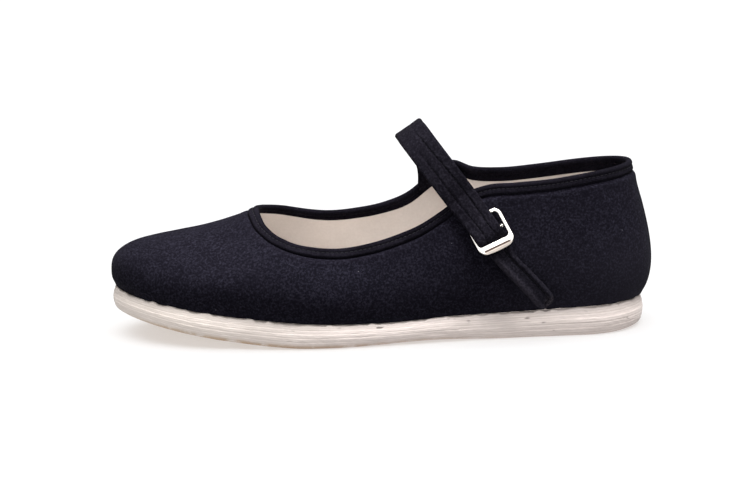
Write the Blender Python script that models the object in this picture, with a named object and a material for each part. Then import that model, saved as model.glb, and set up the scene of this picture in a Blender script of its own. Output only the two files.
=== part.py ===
"""A woman's cloth shoe for the left foot: layered cloth sole, low cut upper and a buckled strap.

Metres, +Z up. The toe points along -X and the outer side of the foot faces -Y. The shoe stands on
its sole at z = 0, with the origin in the middle of its box. Shares along the shoe run from 0 at the
toe end of the sole to 1 at its heel end.
"""

import math
from collections import namedtuple
from functools import lru_cache

import bmesh
import bpy
from mathutils import Matrix, Vector

# Sole: white cloth layers, glued and stitched
SOLE_LENGTH = 0.247
BALL_WIDTH = 0.084
TOE_SWING = 0.005
SOLE_THICKNESS = 0.0134
TOE_SPRING = 0.0126
HEEL_SPRING = 0.0010
ARCH_RISE = 0.0010
SOLE_LAYERS = 6
SIDE_BULGE = 0.0015
BOTTOM_ROUND = 0.0020
LAYER_GROOVE = 0.00035
TOE_ROUND = 0.20
HEEL_ROUND = 0.13

# Insole: a thin cloth sheet on the sole
INSOLE_THICKNESS = 0.0020
INSOLE_EDGE_CLEARANCE = 0.0006

# Upper: black cotton outside and white cotton lining, made as one wall
COLLAR_HEIGHT = 0.0778
UPPER_WALL = 0.0022
FEATHER_INSET = 0.0020
THROAT_SHARE = 0.273
BACK_SHARE = 0.974
LEAN_SHARE = 0.60
THROAT_ROUND = 0.085
BACK_ROUND = 0.12

# Binding: black tape folded over the topline
BINDING_DEPTH = 0.0060
BINDING_THICKNESS = 0.0007
BINDING_PROUD = 0.0004
GAP = 0.0003

# Strap: it rises from inside the inner quarter, arches over the instep, crosses the outer topline
# at STRAP_SHARE and comes down through the buckle to a tongue
STRAP_WIDTH = 0.0145
STRAP_THICKNESS = 0.0015
STRAP_MARGIN = 0.0045
STRAP_RECESS = 0.0003
STRAP_LEAN = math.radians(36.5)
STRAP_SHARE = 0.637
STRAP_RISE = 0.0340
STRAP_STANDOFF = 0.0024
STRAP_EASE = 0.0007
STRAP_BASE = 0.0130
STRAP_TAIL = 0.0635
TONGUE_STANDOFF = 0.0030

# Buckle: a flat metal frame with a centre bar, held by a cloth tab on the outer quarter
BUCKLE_BELOW_CROSSING = 0.0206
BUCKLE_OPENING_WIDTH = 0.0158
BUCKLE_OPENING_HEIGHT = 0.0125
BUCKLE_BAR = 0.0014
BUCKLE_FRONT_BAR = 0.0033
BUCKLE_DEPTH = 0.0014
BUCKLE_CORNER = 0.0024
CENTRE_BAR_RADIUS = 0.00065
BUCKLE_TILT = math.radians(18.0)
BUCKLE_TURN = math.radians(7.0)
BUCKLE_LIFT = 0.0037
TAB_WIDTH = 0.0088
TAB_THICKNESS = 0.0006
TAB_LENGTH = 0.0230

STATIONS = 96
SIDE_CROWDING = 0.20

# Half widths of the sole from its centre line, as shares of BALL_WIDTH
SoleRow = namedtuple("SoleRow", "along lateral medial")
SOLE_PLAN = (
    SoleRow(0.00, 0.410, 0.470),
    SoleRow(0.18, 0.452, 0.482),
    SoleRow(0.30, 0.488, 0.492),
    SoleRow(0.38, 0.500, 0.466),
    SoleRow(0.50, 0.462, 0.392),
    SoleRow(0.62, 0.408, 0.338),
    SoleRow(0.74, 0.372, 0.330),
    SoleRow(0.86, 0.354, 0.344),
    SoleRow(1.00, 0.335, 0.335),
)

# Thickness of the sole, as shares of SOLE_THICKNESS
ThickRow = namedtuple("ThickRow", "along thickness")
SOLE_PROFILE = (
    ThickRow(0.00, 0.745),
    ThickRow(0.15, 0.820),
    ThickRow(0.30, 0.850),
    ThickRow(0.42, 0.785),
    ThickRow(0.53, 0.720),
    ThickRow(0.63, 0.805),
    ThickRow(0.75, 0.900),
    ThickRow(0.87, 0.965),
    ThickRow(1.00, 1.000),
)

# The topline: half widths as shares of BALL_WIDTH, heights as shares of COLLAR_HEIGHT
TopRow = namedtuple("TopRow", "along lateral medial lateral_height medial_height")
TOPLINE = (
    TopRow(0.273, 0.350, 0.320, 0.748, 0.748),
    TopRow(0.280, 0.350, 0.320, 0.700, 0.731),
    TopRow(0.293, 0.350, 0.320, 0.658, 0.716),
    TopRow(0.320, 0.350, 0.320, 0.615, 0.701),
    TopRow(0.365, 0.352, 0.325, 0.580, 0.676),
    TopRow(0.415, 0.360, 0.338, 0.570, 0.664),
    TopRow(0.465, 0.360, 0.340, 0.592, 0.676),
    TopRow(0.520, 0.352, 0.338, 0.640, 0.710),
    TopRow(0.565, 0.344, 0.332, 0.697, 0.770),
    TopRow(0.605, 0.335, 0.324, 0.775, 0.872),
    TopRow(0.647, 0.324, 0.316, 0.868, 0.966),
    TopRow(0.690, 0.315, 0.310, 0.912, 0.920),
    TopRow(0.740, 0.308, 0.305, 0.920, 0.911),
    TopRow(0.810, 0.300, 0.298, 0.935, 0.928),
    TopRow(0.880, 0.291, 0.291, 0.966, 0.955),
    TopRow(0.974, 0.285, 0.285, 1.000, 1.000),
)

# The wall between sole and topline: the angles at which it leaves each, and how far it keeps them,
# as shares of the straight distance between the two
WallRow = namedtuple("WallRow", "along rise rise_reach fall fall_reach")
WALL = (
    WallRow(0.00, 65.0, 0.430, 23.5, 0.580),
    WallRow(0.04, 65.0, 0.400, 24.5, 0.520),
    WallRow(0.10, 65.0, 0.380, 28.0, 0.460),
    WallRow(0.20, 64.0, 0.400, 36.0, 0.460),
    WallRow(0.32, 62.0, 0.420, 47.0, 0.500),
    WallRow(0.45, 62.0, 0.360, 58.0, 0.460),
    WallRow(0.60, 61.0, 0.320, 68.0, 0.380),
    WallRow(0.80, 57.0, 0.300, 76.0, 0.320),
    WallRow(1.00, 49.4, 0.290, 78.0, 0.305),
)


# The strap below the crossing, as shares of STRAP_TAIL down and of STRAP_WIDTH across
StrapRow = namedtuple("StrapRow", "along shift width")
STRAP_PLAN = (
    StrapRow(0.00, 0.000, 1.000),
    StrapRow(0.20, 0.035, 1.000),
    StrapRow(0.30, 0.045, 0.990),
    StrapRow(0.36, 0.055, 0.860),
    StrapRow(0.42, 0.005, 0.720),
    StrapRow(0.49, -0.055, 0.660),
    StrapRow(0.70, 0.040, 0.650),
    StrapRow(0.90, 0.140, 0.640),
    StrapRow(1.00, 0.160, 0.620),
)

def read(table, column, along):
    """A column of a table at a share along the shoe, on a smooth curve through its rows."""
    at = [row.along for row in table]
    value = [getattr(row, column) for row in table]
    along = min(max(along, at[0]), at[-1])
    i = max(k for k in range(len(at) - 1) if at[k] <= along)
    slope = [(value[k + 1] - value[k]) / (at[k + 1] - at[k]) for k in range(len(at) - 1)]

    def tangent(k):
        if k in (0, len(at) - 1):
            return slope[min(k, len(slope) - 1)]
        before, after = at[k] - at[k - 1], at[k + 1] - at[k]
        return (slope[k - 1] * after + slope[k] * before) / (before + after)

    span = at[i + 1] - at[i]
    t = (along - at[i]) / span
    start, end = tangent(i) * span, tangent(i + 1) * span
    cubic = 2 * value[i] + start - 2 * value[i + 1] + end
    square = -3 * value[i] - 2 * start + 3 * value[i + 1] - end
    return ((cubic * t + square) * t + start) * t + value[i]


def rounding(along, first, last, first_round, last_round):
    """How far a half width has grown from the rounded ends at first and last, from 0 to 1."""
    from_first = min(max((along - first) / first_round, 0.0), 1.0)
    from_last = min(max((last - along) / last_round, 0.0), 1.0)
    return math.sqrt((1 - (1 - from_first) ** 2) * (1 - (1 - from_last) ** 2))


def station_angles():
    """Angles round the shoe, from the toe by the outer side to the heel and back by the inner."""
    even = [2 * math.pi * i / STATIONS for i in range(STATIONS)]
    return [angle + SIDE_CROWDING * math.sin(2 * angle) for angle in even]


def share_at(angle):
    return (1 - math.cos(angle)) / 2


def length_at(along):
    return (along - 0.5) * SOLE_LENGTH


def share_of(x):
    return min(max(x / SOLE_LENGTH + 0.5, 0.0), 1.0)


def centre_line(along):
    """The toe of a left shoe swings towards the inner side of the foot."""
    return TOE_SWING * max(0.0, 1 - along / 0.45) ** 2


def plan_point(table, along, angle, grown):
    """A point of a plan outline: outer side where the angle's sine is positive, else inner."""
    outer = math.sin(angle) >= 0
    half = read(table, "lateral" if outer else "medial", along) * BALL_WIDTH * grown
    return Vector((length_at(along), centre_line(along) + (-half if outer else half), 0.0))


def sole_outline(angle):
    along = share_at(angle)
    grown = rounding(along, 0.0, 1.0, TOE_ROUND, HEEL_ROUND)
    return plan_point(SOLE_PLAN, along, angle, grown)


def topline_share(angle):
    """Where along the shoe the wall that leaves the sole at this angle meets the topline."""
    along = share_at(angle)
    if along < LEAN_SHARE:
        return along + THROAT_SHARE * (1 - along / LEAN_SHARE) ** 2
    return along - (1 - BACK_SHARE) * ((along - LEAN_SHARE) / (1 - LEAN_SHARE)) ** 2


def topline_plan(angle):
    along = topline_share(angle)
    grown = rounding(along, THROAT_SHARE, BACK_SHARE, THROAT_ROUND, BACK_ROUND)
    return plan_point(TOPLINE, along, angle, grown)


def outward(outline, angle):
    """The level direction out of a plan outline."""
    step = 1e-3
    along = outline(angle + step) - outline(angle - step)
    return Vector((along.y, -along.x, 0.0)).normalized()


def floor_rise(along):
    """Height of the sole's underside: toe spring, a slight arch and a slight lift at the heel."""
    toe = TOE_SPRING * max(0.0, 1 - along / 0.345) ** 1.4
    heel = HEEL_SPRING * max(0.0, (along - 0.90) / 0.10) ** 2
    waist = max(0.0, 1 - abs(along - 0.575) / 0.155)
    return toe + heel + ARCH_RISE * waist * waist * (3 - 2 * waist)


def seat_height(along):
    """Height of the sole's top face."""
    return floor_rise(along) + read(SOLE_PROFILE, "thickness", along) * SOLE_THICKNESS


@lru_cache(maxsize=None)
def wall_curve(angle):
    """The outside of the upper at one angle, from the sole up to the topline, as close points."""
    along, top_along = share_at(angle), topline_share(angle)
    side = "lateral_height" if math.sin(angle) >= 0 else "medial_height"
    out, top_out = outward(sole_outline, angle), outward(topline_plan, angle)
    foot = sole_outline(angle) - out * FEATHER_INSET
    foot.z = seat_height(share_of(foot.x)) + GAP
    top = topline_plan(angle)
    top.z = read(TOPLINE, side, top_along) * COLLAR_HEIGHT
    span = (top - foot).length
    rise, fall = (math.radians(read(WALL, name, along)) for name in ("rise", "fall"))
    rise_reach = read(WALL, "rise_reach", along) * span
    fall_reach = read(WALL, "fall_reach", along) * span
    above = foot + (out * math.cos(rise) + Vector((0, 0, math.sin(rise)))) * rise_reach
    below = top + (top_out * math.cos(fall) - Vector((0, 0, math.sin(fall)))) * fall_reach
    steps = 48
    points = []
    for step in range(steps + 1):
        t = step / steps
        weights = ((1 - t) ** 3, 3 * (1 - t) ** 2 * t, 3 * (1 - t) * t * t, t**3)
        points.append(sum((p * w for p, w in zip((foot, above, below, top), weights)), Vector()))
    return points


@lru_cache(maxsize=None)
def wall_depths(angle):
    """How far each point of the wall's curve lies below the topline, along the curve."""
    points = wall_curve(angle)
    depths = [0.0]
    for i in range(len(points) - 1, 0, -1):
        depths.append(depths[-1] + (points[i] - points[i - 1]).length)
    return depths[::-1]


def wall_point(angle, depth):
    """The point of the upper's outside at this depth below the topline."""
    points, depths = wall_curve(angle), wall_depths(angle)
    depth = min(max(depth, 0.0), depths[0])
    i = max(k for k in range(len(depths) - 1) if depths[k] >= depth)
    t = (depths[i] - depth) / (depths[i] - depths[i + 1])
    return points[i].lerp(points[i + 1], t)


def wall_normal(angle, depth):
    """The direction out of the wall."""
    turn, step = 2e-3, 4e-4
    around = wall_point(angle + turn, depth) - wall_point(angle - turn, depth)
    down = wall_point(angle, depth + step) - wall_point(angle, max(depth - step, 0.0))
    return down.cross(around).normalized()


def wall_offset(angle, depth, out):
    return wall_point(angle, depth) + wall_normal(angle, depth) * out


def wall_reach(x, z, outer):
    """How far from the middle plane the upper's outside lies at a length and a height."""
    near = []
    for angle in station_angles():
        side = math.sin(angle)
        if abs(side) < 0.05 or (side > 0) != outer:
            continue
        points = wall_curve(angle)
        low, high = points[0], points[-1]
        if z >= high.z or z <= low.z:
            near.append((high.x, abs(high.y)) if z >= high.z else (low.x, abs(low.y)))
            continue
        for a, b in zip(points, points[1:]):
            if a.z <= z < b.z:
                at = a.lerp(b, (z - a.z) / (b.z - a.z))
                near.append((at.x, abs(at.y)))
                break
    near.sort()
    for (x0, y0), (x1, y1) in zip(near, near[1:]):
        if x0 <= x < x1:
            return y0 + (y1 - y0) * (x - x0) / (x1 - x0)
    return near[0][1] if x < near[0][0] else near[-1][1]


def loop_solid(name, rings, closed_section, material):
    """A solid from rings of points round the shoe. A closed section joins the last ring to the
    first, as in a tube; an open one is shut by rungs across its first and last rings."""
    mesh = bmesh.new()
    verts = [[mesh.verts.new(point) for point in ring] for ring in rings]
    pairs = list(zip(verts, verts[1:]))
    if closed_section:
        pairs.append((verts[-1], verts[0]))
    count = len(verts[0])
    for low, high in pairs:
        for i in range(count):
            j = (i + 1) % count
            mesh.faces.new((low[i], low[j], high[j], high[i]))
    if not closed_section:
        for ring in (verts[0], verts[-1]):
            for i in range(1, count // 2 - 1):
                mesh.faces.new((ring[i], ring[i + 1], ring[count - i - 1], ring[count - i]))
            mesh.faces.new((ring[0], ring[1], ring[count - 1]))
            middle = count // 2
            mesh.faces.new((ring[middle], ring[middle + 1], ring[middle - 1]))
    return finish(name, mesh, material)


def finish(name, mesh, material):
    """Turns the faces outwards and makes the object."""
    bmesh.ops.recalc_face_normals(mesh, faces=mesh.faces[:])
    data = bpy.data.meshes.new(name)
    mesh.to_mesh(data)
    mesh.free()
    data.materials.append(material)
    data.shade_smooth()
    data.set_sharp_from_angle(angle=math.radians(35))
    thing = bpy.data.objects.new(name, data)
    bpy.context.scene.collection.objects.link(thing)
    return thing


def material(name, colour, roughness, metallic=0.0):
    made = bpy.data.materials.new(name)
    made.use_nodes = True
    shader = made.node_tree.nodes["Principled BSDF"]
    shader.inputs["Base Color"].default_value = (*colour, 1.0)
    shader.inputs["Roughness"].default_value = roughness
    shader.inputs["Metallic"].default_value = metallic
    return made


def outline_ring(inset, height):
    """A ring round the sole: inset from its outline, at a height that depends on the share."""
    ring = []
    for angle in station_angles():
        point = sole_outline(angle) - outward(sole_outline, angle) * inset
        point.z = height(share_of(point.x))
        ring.append(point)
    return ring


def make_sole(cloth):
    """Stacked cloth layers, each with a rounded edge, on a side that bulges at mid height."""
    rings = []
    steps = 2 * SOLE_LAYERS
    for step in range(steps + 1):
        h = step / steps
        inset = SIDE_BULGE * (2 * h - 1) ** 2 + BOTTOM_ROUND * max(0.0, 1 - h / 0.15) ** 2
        if step % 2 == 0 and 0 < step < steps:
            inset += LAYER_GROOVE
        rings.append(
            outline_ring(inset, lambda s, h=h: floor_rise(s) + h * (seat_height(s) - floor_rise(s)))
        )
    return loop_solid("sole", rings, False, cloth)


def make_insole(cloth):
    """A cloth sheet that fills the floor of the shoe inside the upper."""
    inset = FEATHER_INSET + UPPER_WALL / math.sin(math.radians(49)) + INSOLE_EDGE_CLEARANCE
    low = outline_ring(inset, lambda s: seat_height(s) + GAP)
    edge = outline_ring(inset, lambda s: seat_height(s) + GAP + 0.7 * INSOLE_THICKNESS)
    high = outline_ring(
        inset + 0.3 * INSOLE_THICKNESS, lambda s: seat_height(s) + GAP + INSOLE_THICKNESS
    )
    return loop_solid("insole", [low, edge, high], False, cloth)


def make_upper(cloth):
    """The wall from sole to topline, thinned under the binding on both faces."""
    angles = station_angles()
    recess = BINDING_THICKNESS + GAP - BINDING_PROUD
    step_depth = BINDING_DEPTH + GAP
    crown_depth = BINDING_THICKNESS + GAP
    outer_rows, inner_rows = 12, 8

    def ring(depth_share, out):
        """A ring at a share of the way from the binding's edge down to the sole."""
        made = []
        for angle in angles:
            length = wall_depths(angle)[0]
            made.append(wall_offset(angle, step_depth + (length - step_depth) * depth_share, out))
        return made

    def foot_ring():
        """The inner bottom edge, level with the outer one."""
        made = []
        for angle in angles:
            rise = math.radians(read(WALL, "rise", share_at(angle)))
            foot = wall_curve(angle)[0]
            inner = foot - outward(sole_outline, angle) * (UPPER_WALL / math.sin(rise))
            inner.z = seat_height(share_of(inner.x)) + GAP
            made.append(inner)
        return made

    rings = [ring(1 - (row / outer_rows) ** 1.4, 0.0) for row in range(outer_rows + 1)]
    for depth, out in (
        (step_depth, -recess),
        (crown_depth, -recess),
        (crown_depth, recess - UPPER_WALL),
        (step_depth, recess - UPPER_WALL),
    ):
        rings.append([wall_offset(angle, depth, out) for angle in angles])
    for row in range(inner_rows):
        rings.append(ring(1 - (1 - row / inner_rows) ** 1.4, -UPPER_WALL))
    rings.append(foot_ring())
    return loop_solid("upper", rings, True, cloth)


def make_binding(tape):
    """Tape folded over the topline, lying in the wall's thinned edge."""
    outer, inner = BINDING_PROUD, -UPPER_WALL - BINDING_PROUD
    middle = (outer + inner) / 2
    section = (
        (BINDING_DEPTH, outer),
        (0.0011, outer),
        (0.0003, outer - 0.0005),
        (0.0, middle),
        (0.0003, inner + 0.0005),
        (0.0011, inner),
        (BINDING_DEPTH, inner),
        (BINDING_DEPTH, inner + BINDING_THICKNESS),
        (BINDING_THICKNESS, inner + BINDING_THICKNESS),
        (BINDING_THICKNESS, outer - BINDING_THICKNESS),
        (BINDING_DEPTH, outer - BINDING_THICKNESS),
    )
    angles = station_angles()
    rings = [[wall_offset(angle, depth, out) for angle in angles] for depth, out in section]
    return loop_solid("topline_binding", rings, True, tape)


def strap_plane(rise, across):
    """Length and height of a point in the strap's leaning plane: rise from the crossing with the
    outer topline, and across towards the heel."""
    x = length_at(STRAP_SHARE) - rise * math.sin(STRAP_LEAN) + across * math.cos(STRAP_LEAN)
    crossing = read(TOPLINE, "lateral_height", STRAP_SHARE) * COLLAR_HEIGHT
    z = crossing + rise * math.cos(STRAP_LEAN) + across * math.sin(STRAP_LEAN)
    return x, z


def beside_wall(down, across, lift):
    """A point of the strap's plane below the crossing, lifted off the outer quarter."""
    x, z = strap_plane(-down, across)
    return Vector((x, -wall_reach(x, z, True) - lift, z))


def inside_wall(rise, across, clear):
    """A point of the strap's plane inside the inner quarter."""
    x, z = strap_plane(rise, across)
    return Vector((x, wall_reach(x, z, False) - clear, z))


def buckle_frame():
    """The middle of the centre bar, and the directions down the strap, across it and outwards."""
    reach = BUCKLE_OPENING_HEIGHT / 2
    down, shift = BUCKLE_BELOW_CROSSING, strap_shift(BUCKLE_BELOW_CROSSING)
    along = beside_wall(down + reach, shift, 0) - beside_wall(down - reach, shift, 0)
    side = beside_wall(down, shift + reach, 0) - beside_wall(down, shift - reach, 0)
    along.normalize()
    out = along.cross(side).normalized()
    side = out.cross(along)
    turned = along * math.cos(BUCKLE_TURN) - side * math.sin(BUCKLE_TURN)
    side = side * math.cos(BUCKLE_TURN) + along * math.sin(BUCKLE_TURN)
    return beside_wall(down, shift, 0) + out * BUCKLE_LIFT, turned, side, out


def strap_shift(down):
    return read(STRAP_PLAN, "shift", down / STRAP_TAIL) * STRAP_WIDTH


def strap_lift(down):
    """Height of the strap's inner face off the quarter: over the buckle's top and centre bars and
    under its front bar."""
    over_bar = BUCKLE_LIFT + CENTRE_BAR_RADIUS + TAB_THICKNESS + 2 * GAP
    height = BUCKLE_OPENING_HEIGHT + BUCKLE_BAR + BUCKLE_FRONT_BAR
    top, front = height / 2 - BUCKLE_BAR / 2, height / 2 - BUCKLE_FRONT_BAR / 2
    over_top = BUCKLE_LIFT - top * math.sin(BUCKLE_TILT) + BUCKLE_DEPTH / 2 + GAP
    under_front = BUCKLE_LIFT + front * math.sin(BUCKLE_TILT) - BUCKLE_DEPTH / 2
    under_front -= STRAP_THICKNESS + 2 * GAP
    middle = BUCKLE_BELOW_CROSSING
    dip = middle + front - BUCKLE_FRONT_BAR / 2 - 0.7 * STRAP_THICKNESS
    rows = (
        LiftRow(0.0, STRAP_STANDOFF),
        LiftRow(middle - top, max(over_top, STRAP_STANDOFF) + STRAP_EASE),
        LiftRow(middle - top / 2, (over_top + over_bar) / 2 + STRAP_EASE),
        LiftRow(middle, over_bar + GAP),
        LiftRow(dip, under_front),
        LiftRow(middle + front, under_front),
        LiftRow(middle + height, TONGUE_STANDOFF),
        LiftRow(STRAP_TAIL, TONGUE_STANDOFF),
    )
    return read(rows, "lift", down)


LiftRow = namedtuple("LiftRow", "along lift")


def strap_path():
    """Rows of three points across the strap's inner face, from its base inside the inner quarter
    to the tip of its tongue."""
    half = STRAP_WIDTH / 2
    clear = UPPER_WALL + BINDING_PROUD + STRAP_THICKNESS + 2 * GAP
    summit = 0.0
    while strap_plane(summit, 0)[1] < COLLAR_HEIGHT * read(
        TOPLINE, "medial_height", share_of(strap_plane(summit, 0)[0])
    ):
        summit += 0.0005
    rows = []
    legs = 5
    for i in range(legs):
        rise = summit - STRAP_BASE * (1 - i / legs)
        rows.append([inside_wall(rise, across, clear) for across in (-half, 0.0, half)])
    turns = 20
    for i in range(turns + 1):
        turn = math.pi * i / turns
        start = summit if turn < math.pi / 2 else 0.0
        rise = start + (STRAP_RISE - start) * math.sin(turn)
        row = []
        for across in (-half, 0.0, half):
            inner = inside_wall(summit, across, clear).y
            outer = beside_wall(0.0, across, STRAP_STANDOFF).y
            x, z = strap_plane(rise, across)
            row.append(Vector((x, (inner + outer) / 2 + (inner - outer) / 2 * math.cos(turn), z)))
        rows.append(row)
    steps = 34
    for i in range(1, steps + 1):
        down = STRAP_TAIL * math.sin(math.pi / 2 * (i / steps)) ** 0.95
        end = min((STRAP_TAIL - down) / (0.3 * STRAP_WIDTH), 1.0)
        width = half * read(STRAP_PLAN, "width", down / STRAP_TAIL)
        width *= 0.25 + 0.75 * math.sqrt(1 - (1 - end) ** 2)
        middle = strap_shift(down)
        rows.append(
            [beside_wall(down, middle + width * side, strap_lift(down)) for side in (-1, 0, 1)]
        )
    return rows


def make_strap(cloth):
    """A band of folded cloth whose middle panel lies a little lower than its two margins."""
    rows = strap_path()
    margin = 1 - 2 * STRAP_MARGIN / STRAP_WIDTH
    section = (
        (-1.0, 0.0),
        (-1.0, 1.0),
        (-margin, 1.0),
        (-margin + 0.05, 1 - STRAP_RECESS / STRAP_THICKNESS),
        (margin - 0.05, 1 - STRAP_RECESS / STRAP_THICKNESS),
        (margin, 1.0),
        (1.0, 1.0),
        (1.0, 0.0),
    )
    mesh = bmesh.new()
    rings = []
    for i, (left, middle, right) in enumerate(rows):
        before, after = rows[max(i - 1, 0)][1], rows[min(i + 1, len(rows) - 1)][1]
        out = (after - before).cross(right - left).normalized()
        ring = []
        for across, up in section:
            on = middle.lerp(right if across > 0 else left, abs(across))
            ring.append(mesh.verts.new(on + out * (up * STRAP_THICKNESS)))
        rings.append(ring)
    for low, high in zip(rings, rings[1:]):
        for i in range(len(section)):
            j = (i + 1) % len(section)
            mesh.faces.new((low[i], low[j], high[j], high[i]))
    for ring in (rings[0], rings[-1]):
        mesh.faces.new((ring[0], ring[1], ring[2], ring[3]))
        mesh.faces.new((ring[0], ring[3], ring[4], ring[7]))
        mesh.faces.new((ring[4], ring[5], ring[6], ring[7]))
    return finish("strap", mesh, cloth)


def rounded_rectangle(left, right, low, high, radius):
    """Points round a rectangle with round corners."""
    corner_steps = 4
    points = []
    for x, y, start in (
        (right - radius, high - radius, 0),
        (left + radius, high - radius, 1),
        (left + radius, low + radius, 2),
        (right - radius, low + radius, 3),
    ):
        for i in range(corner_steps + 1):
            turn = math.pi / 2 * (start + i / corner_steps)
            points.append((x + radius * math.cos(turn), y + radius * math.sin(turn)))
    return points


def make_buckle(metal):
    """A flat frame with rounded corners and edges, and a round centre bar across it."""
    origin, along, side, out = buckle_frame()
    along = along * math.cos(BUCKLE_TILT) + out * math.sin(BUCKLE_TILT)
    out = along.cross(side)
    half = BUCKLE_OPENING_WIDTH / 2
    height = BUCKLE_OPENING_HEIGHT + BUCKLE_BAR + BUCKLE_FRONT_BAR
    top, front = -height / 2, height / 2
    inner_corner = BUCKLE_CORNER - BUCKLE_BAR
    edge = BUCKLE_DEPTH / 4
    shapes = []
    for inset, level in ((edge, -0.5), (0.0, -0.25), (0.0, 0.25), (edge, 0.5)):
        shapes.append(
            (
                rounded_rectangle(
                    -half - BUCKLE_BAR + inset,
                    half + BUCKLE_BAR - inset,
                    top + inset,
                    front - inset,
                    BUCKLE_CORNER - inset,
                ),
                level,
            )
        )
    for inset, level in ((edge, 0.5), (0.0, 0.25), (0.0, -0.25), (edge, -0.5)):
        shapes.append(
            (
                rounded_rectangle(
                    -half - inset,
                    half + inset,
                    top + BUCKLE_BAR - inset,
                    front - BUCKLE_FRONT_BAR + inset,
                    inner_corner + inset,
                ),
                level,
            )
        )
    rings = []
    for outline, level in shapes:
        lifted = origin + out * (level * BUCKLE_DEPTH)
        rings.append([lifted + side * x + along * y for x, y in outline])
    frame = loop_solid("buckle", rings, True, metal)
    reach = half + BUCKLE_BAR / 2
    mesh = bmesh.new()
    ends = []
    sides = 12
    for end in (-reach, reach):
        ring = []
        for i in range(sides):
            turn = 2 * math.pi * (i + 0.5) / sides
            round_point = along * math.cos(turn) + out * math.sin(turn)
            ring.append(mesh.verts.new(origin + side * end + round_point * CENTRE_BAR_RADIUS))
        ends.append(ring)
    for i in range(sides):
        j = (i + 1) % sides
        mesh.faces.new((ends[0][i], ends[0][j], ends[1][j], ends[1][i]))
    mesh.faces.new(ends[0])
    mesh.faces.new(ends[1])
    bar = finish("buckle_bar_tool", mesh, metal)
    bar.hide_render = True
    bar.display_type = "WIRE"
    union = frame.modifiers.new("centre_bar", "BOOLEAN")
    union.operation = "UNION"
    union.solver = "EXACT"
    union.object = bar
    return frame


def make_tab(cloth):
    """A loop of cloth round the centre bar, with both ends sewn down on the quarter."""
    origin, along, side, out = buckle_frame()
    inner = CENTRE_BAR_RADIUS + GAP
    outer = inner + TAB_THICKNESS
    mouth = math.asin(TAB_THICKNESS / outer)
    segments = 12
    turns = [mouth + (2 * math.pi - 2 * mouth) * i / (segments - 1) for i in range(segments)]
    mesh = bmesh.new()
    half = TAB_WIDTH / 2
    flat = GAP + TAB_THICKNESS
    settle = 6 * flat

    def loop_point(radius, turn, across):
        place = along * math.cos(turn) + out * math.sin(turn)
        return origin + side * across + place * radius

    sheets = []
    for across in (-half, half):
        rows = []
        for turn in turns:
            rows.append(
                (
                    mesh.verts.new(loop_point(outer, turn, across)),
                    mesh.verts.new(loop_point(inner, turn, across)),
                )
            )
        legs = []
        for i in range(1, 11):
            below = outer + (TAB_LENGTH - outer) * (i / 10) ** 1.2
            blend = min(below / (settle + outer), 1.0)
            blend = blend * blend * (3 - 2 * blend)
            pair = []
            for face in (1, -1):
                shift = strap_shift(BUCKLE_BELOW_CROSSING)
                down = BUCKLE_BELOW_CROSSING + below
                seated = beside_wall(down, shift + across, flat + face * TAB_THICKNESS)
                hung = origin + side * across + along * below + out * (face * TAB_THICKNESS)
                pair.append(mesh.verts.new(hung.lerp(seated, blend)))
            legs.append(tuple(pair))
        sheets.append((rows, legs))
    (rows_a, legs_a), (rows_b, legs_b) = sheets
    count = len(turns)
    for i in range(count):
        j = (i + 1) % count
        mesh.faces.new((rows_a[i][0], rows_a[j][0], rows_a[j][1], rows_a[i][1]))
        mesh.faces.new((rows_b[i][0], rows_b[i][1], rows_b[j][1], rows_b[j][0]))
        mesh.faces.new((rows_a[i][1], rows_a[j][1], rows_b[j][1], rows_b[i][1]))
        if j:
            mesh.faces.new((rows_a[i][0], rows_b[i][0], rows_b[j][0], rows_a[j][0]))
    start_a, start_b = (rows_a[0][0], rows_a[-1][0]), (rows_b[0][0], rows_b[-1][0])
    chain_a, chain_b = [start_a] + legs_a, [start_b] + legs_b
    for low_a, high_a, low_b, high_b in zip(chain_a, chain_a[1:], chain_b, chain_b[1:]):
        mesh.faces.new((low_a[0], low_a[1], high_a[1], high_a[0]))
        mesh.faces.new((low_b[0], high_b[0], high_b[1], low_b[1]))
        mesh.faces.new((low_a[0], high_a[0], high_b[0], low_b[0]))
        mesh.faces.new((low_a[1], low_b[1], high_b[1], high_a[1]))
    mesh.faces.new((chain_a[-1][0], chain_a[-1][1], chain_b[-1][1], chain_b[-1][0]))
    return finish("buckle_tab", mesh, cloth)


def centre_on_floor():
    """Moves everything so that the middle of the shoe's box stands on the origin."""
    shown = [thing for thing in bpy.data.objects if not thing.hide_render]
    points = [vert.co for thing in shown for vert in thing.data.vertices]
    low, high = (Vector(pick(p[i] for p in points) for i in range(3)) for pick in (min, max))
    middle = (low + high) / 2
    for thing in bpy.data.objects:
        thing.data.transform(Matrix.Translation((-middle.x, -middle.y, -low.z)))


def main():
    for thing in list(bpy.data.objects):
        bpy.data.objects.remove(thing)
    black = material("black_cotton", (0.014, 0.014, 0.019), 0.9)
    tape = material("black_binding", (0.012, 0.012, 0.014), 0.85)
    white = material("white_sole_cloth", (0.78, 0.74, 0.70), 0.9)
    lining = material("insole_cloth", (0.74, 0.70, 0.65), 0.95)
    strap_cloth = material("strap_cotton", (0.013, 0.013, 0.016), 0.85)
    metal = material("buckle_steel", (0.82, 0.80, 0.77), 0.2, metallic=1.0)
    tab_cloth = material("tab_cotton", (0.012, 0.012, 0.014), 0.9)
    make_sole(white)
    make_insole(lining)
    make_upper(black)
    make_binding(tape)
    make_strap(strap_cloth)
    make_buckle(metal)
    make_tab(tab_cloth)
    centre_on_floor()


main()
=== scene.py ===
# %% [markdown]
# A black cloth shoe for the left foot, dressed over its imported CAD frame.
# The real shoe is sewn from cotton: a low upper with a white lining, a bound topline, a strap with a
# slide buckle, and a sole pasted and stitched from layers of white cloth.
# Each piece below follows the same named sizes as the CAD part, only finer, so it lies where the
# solids are.

import math
from collections import namedtuple
from functools import reduce

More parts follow.
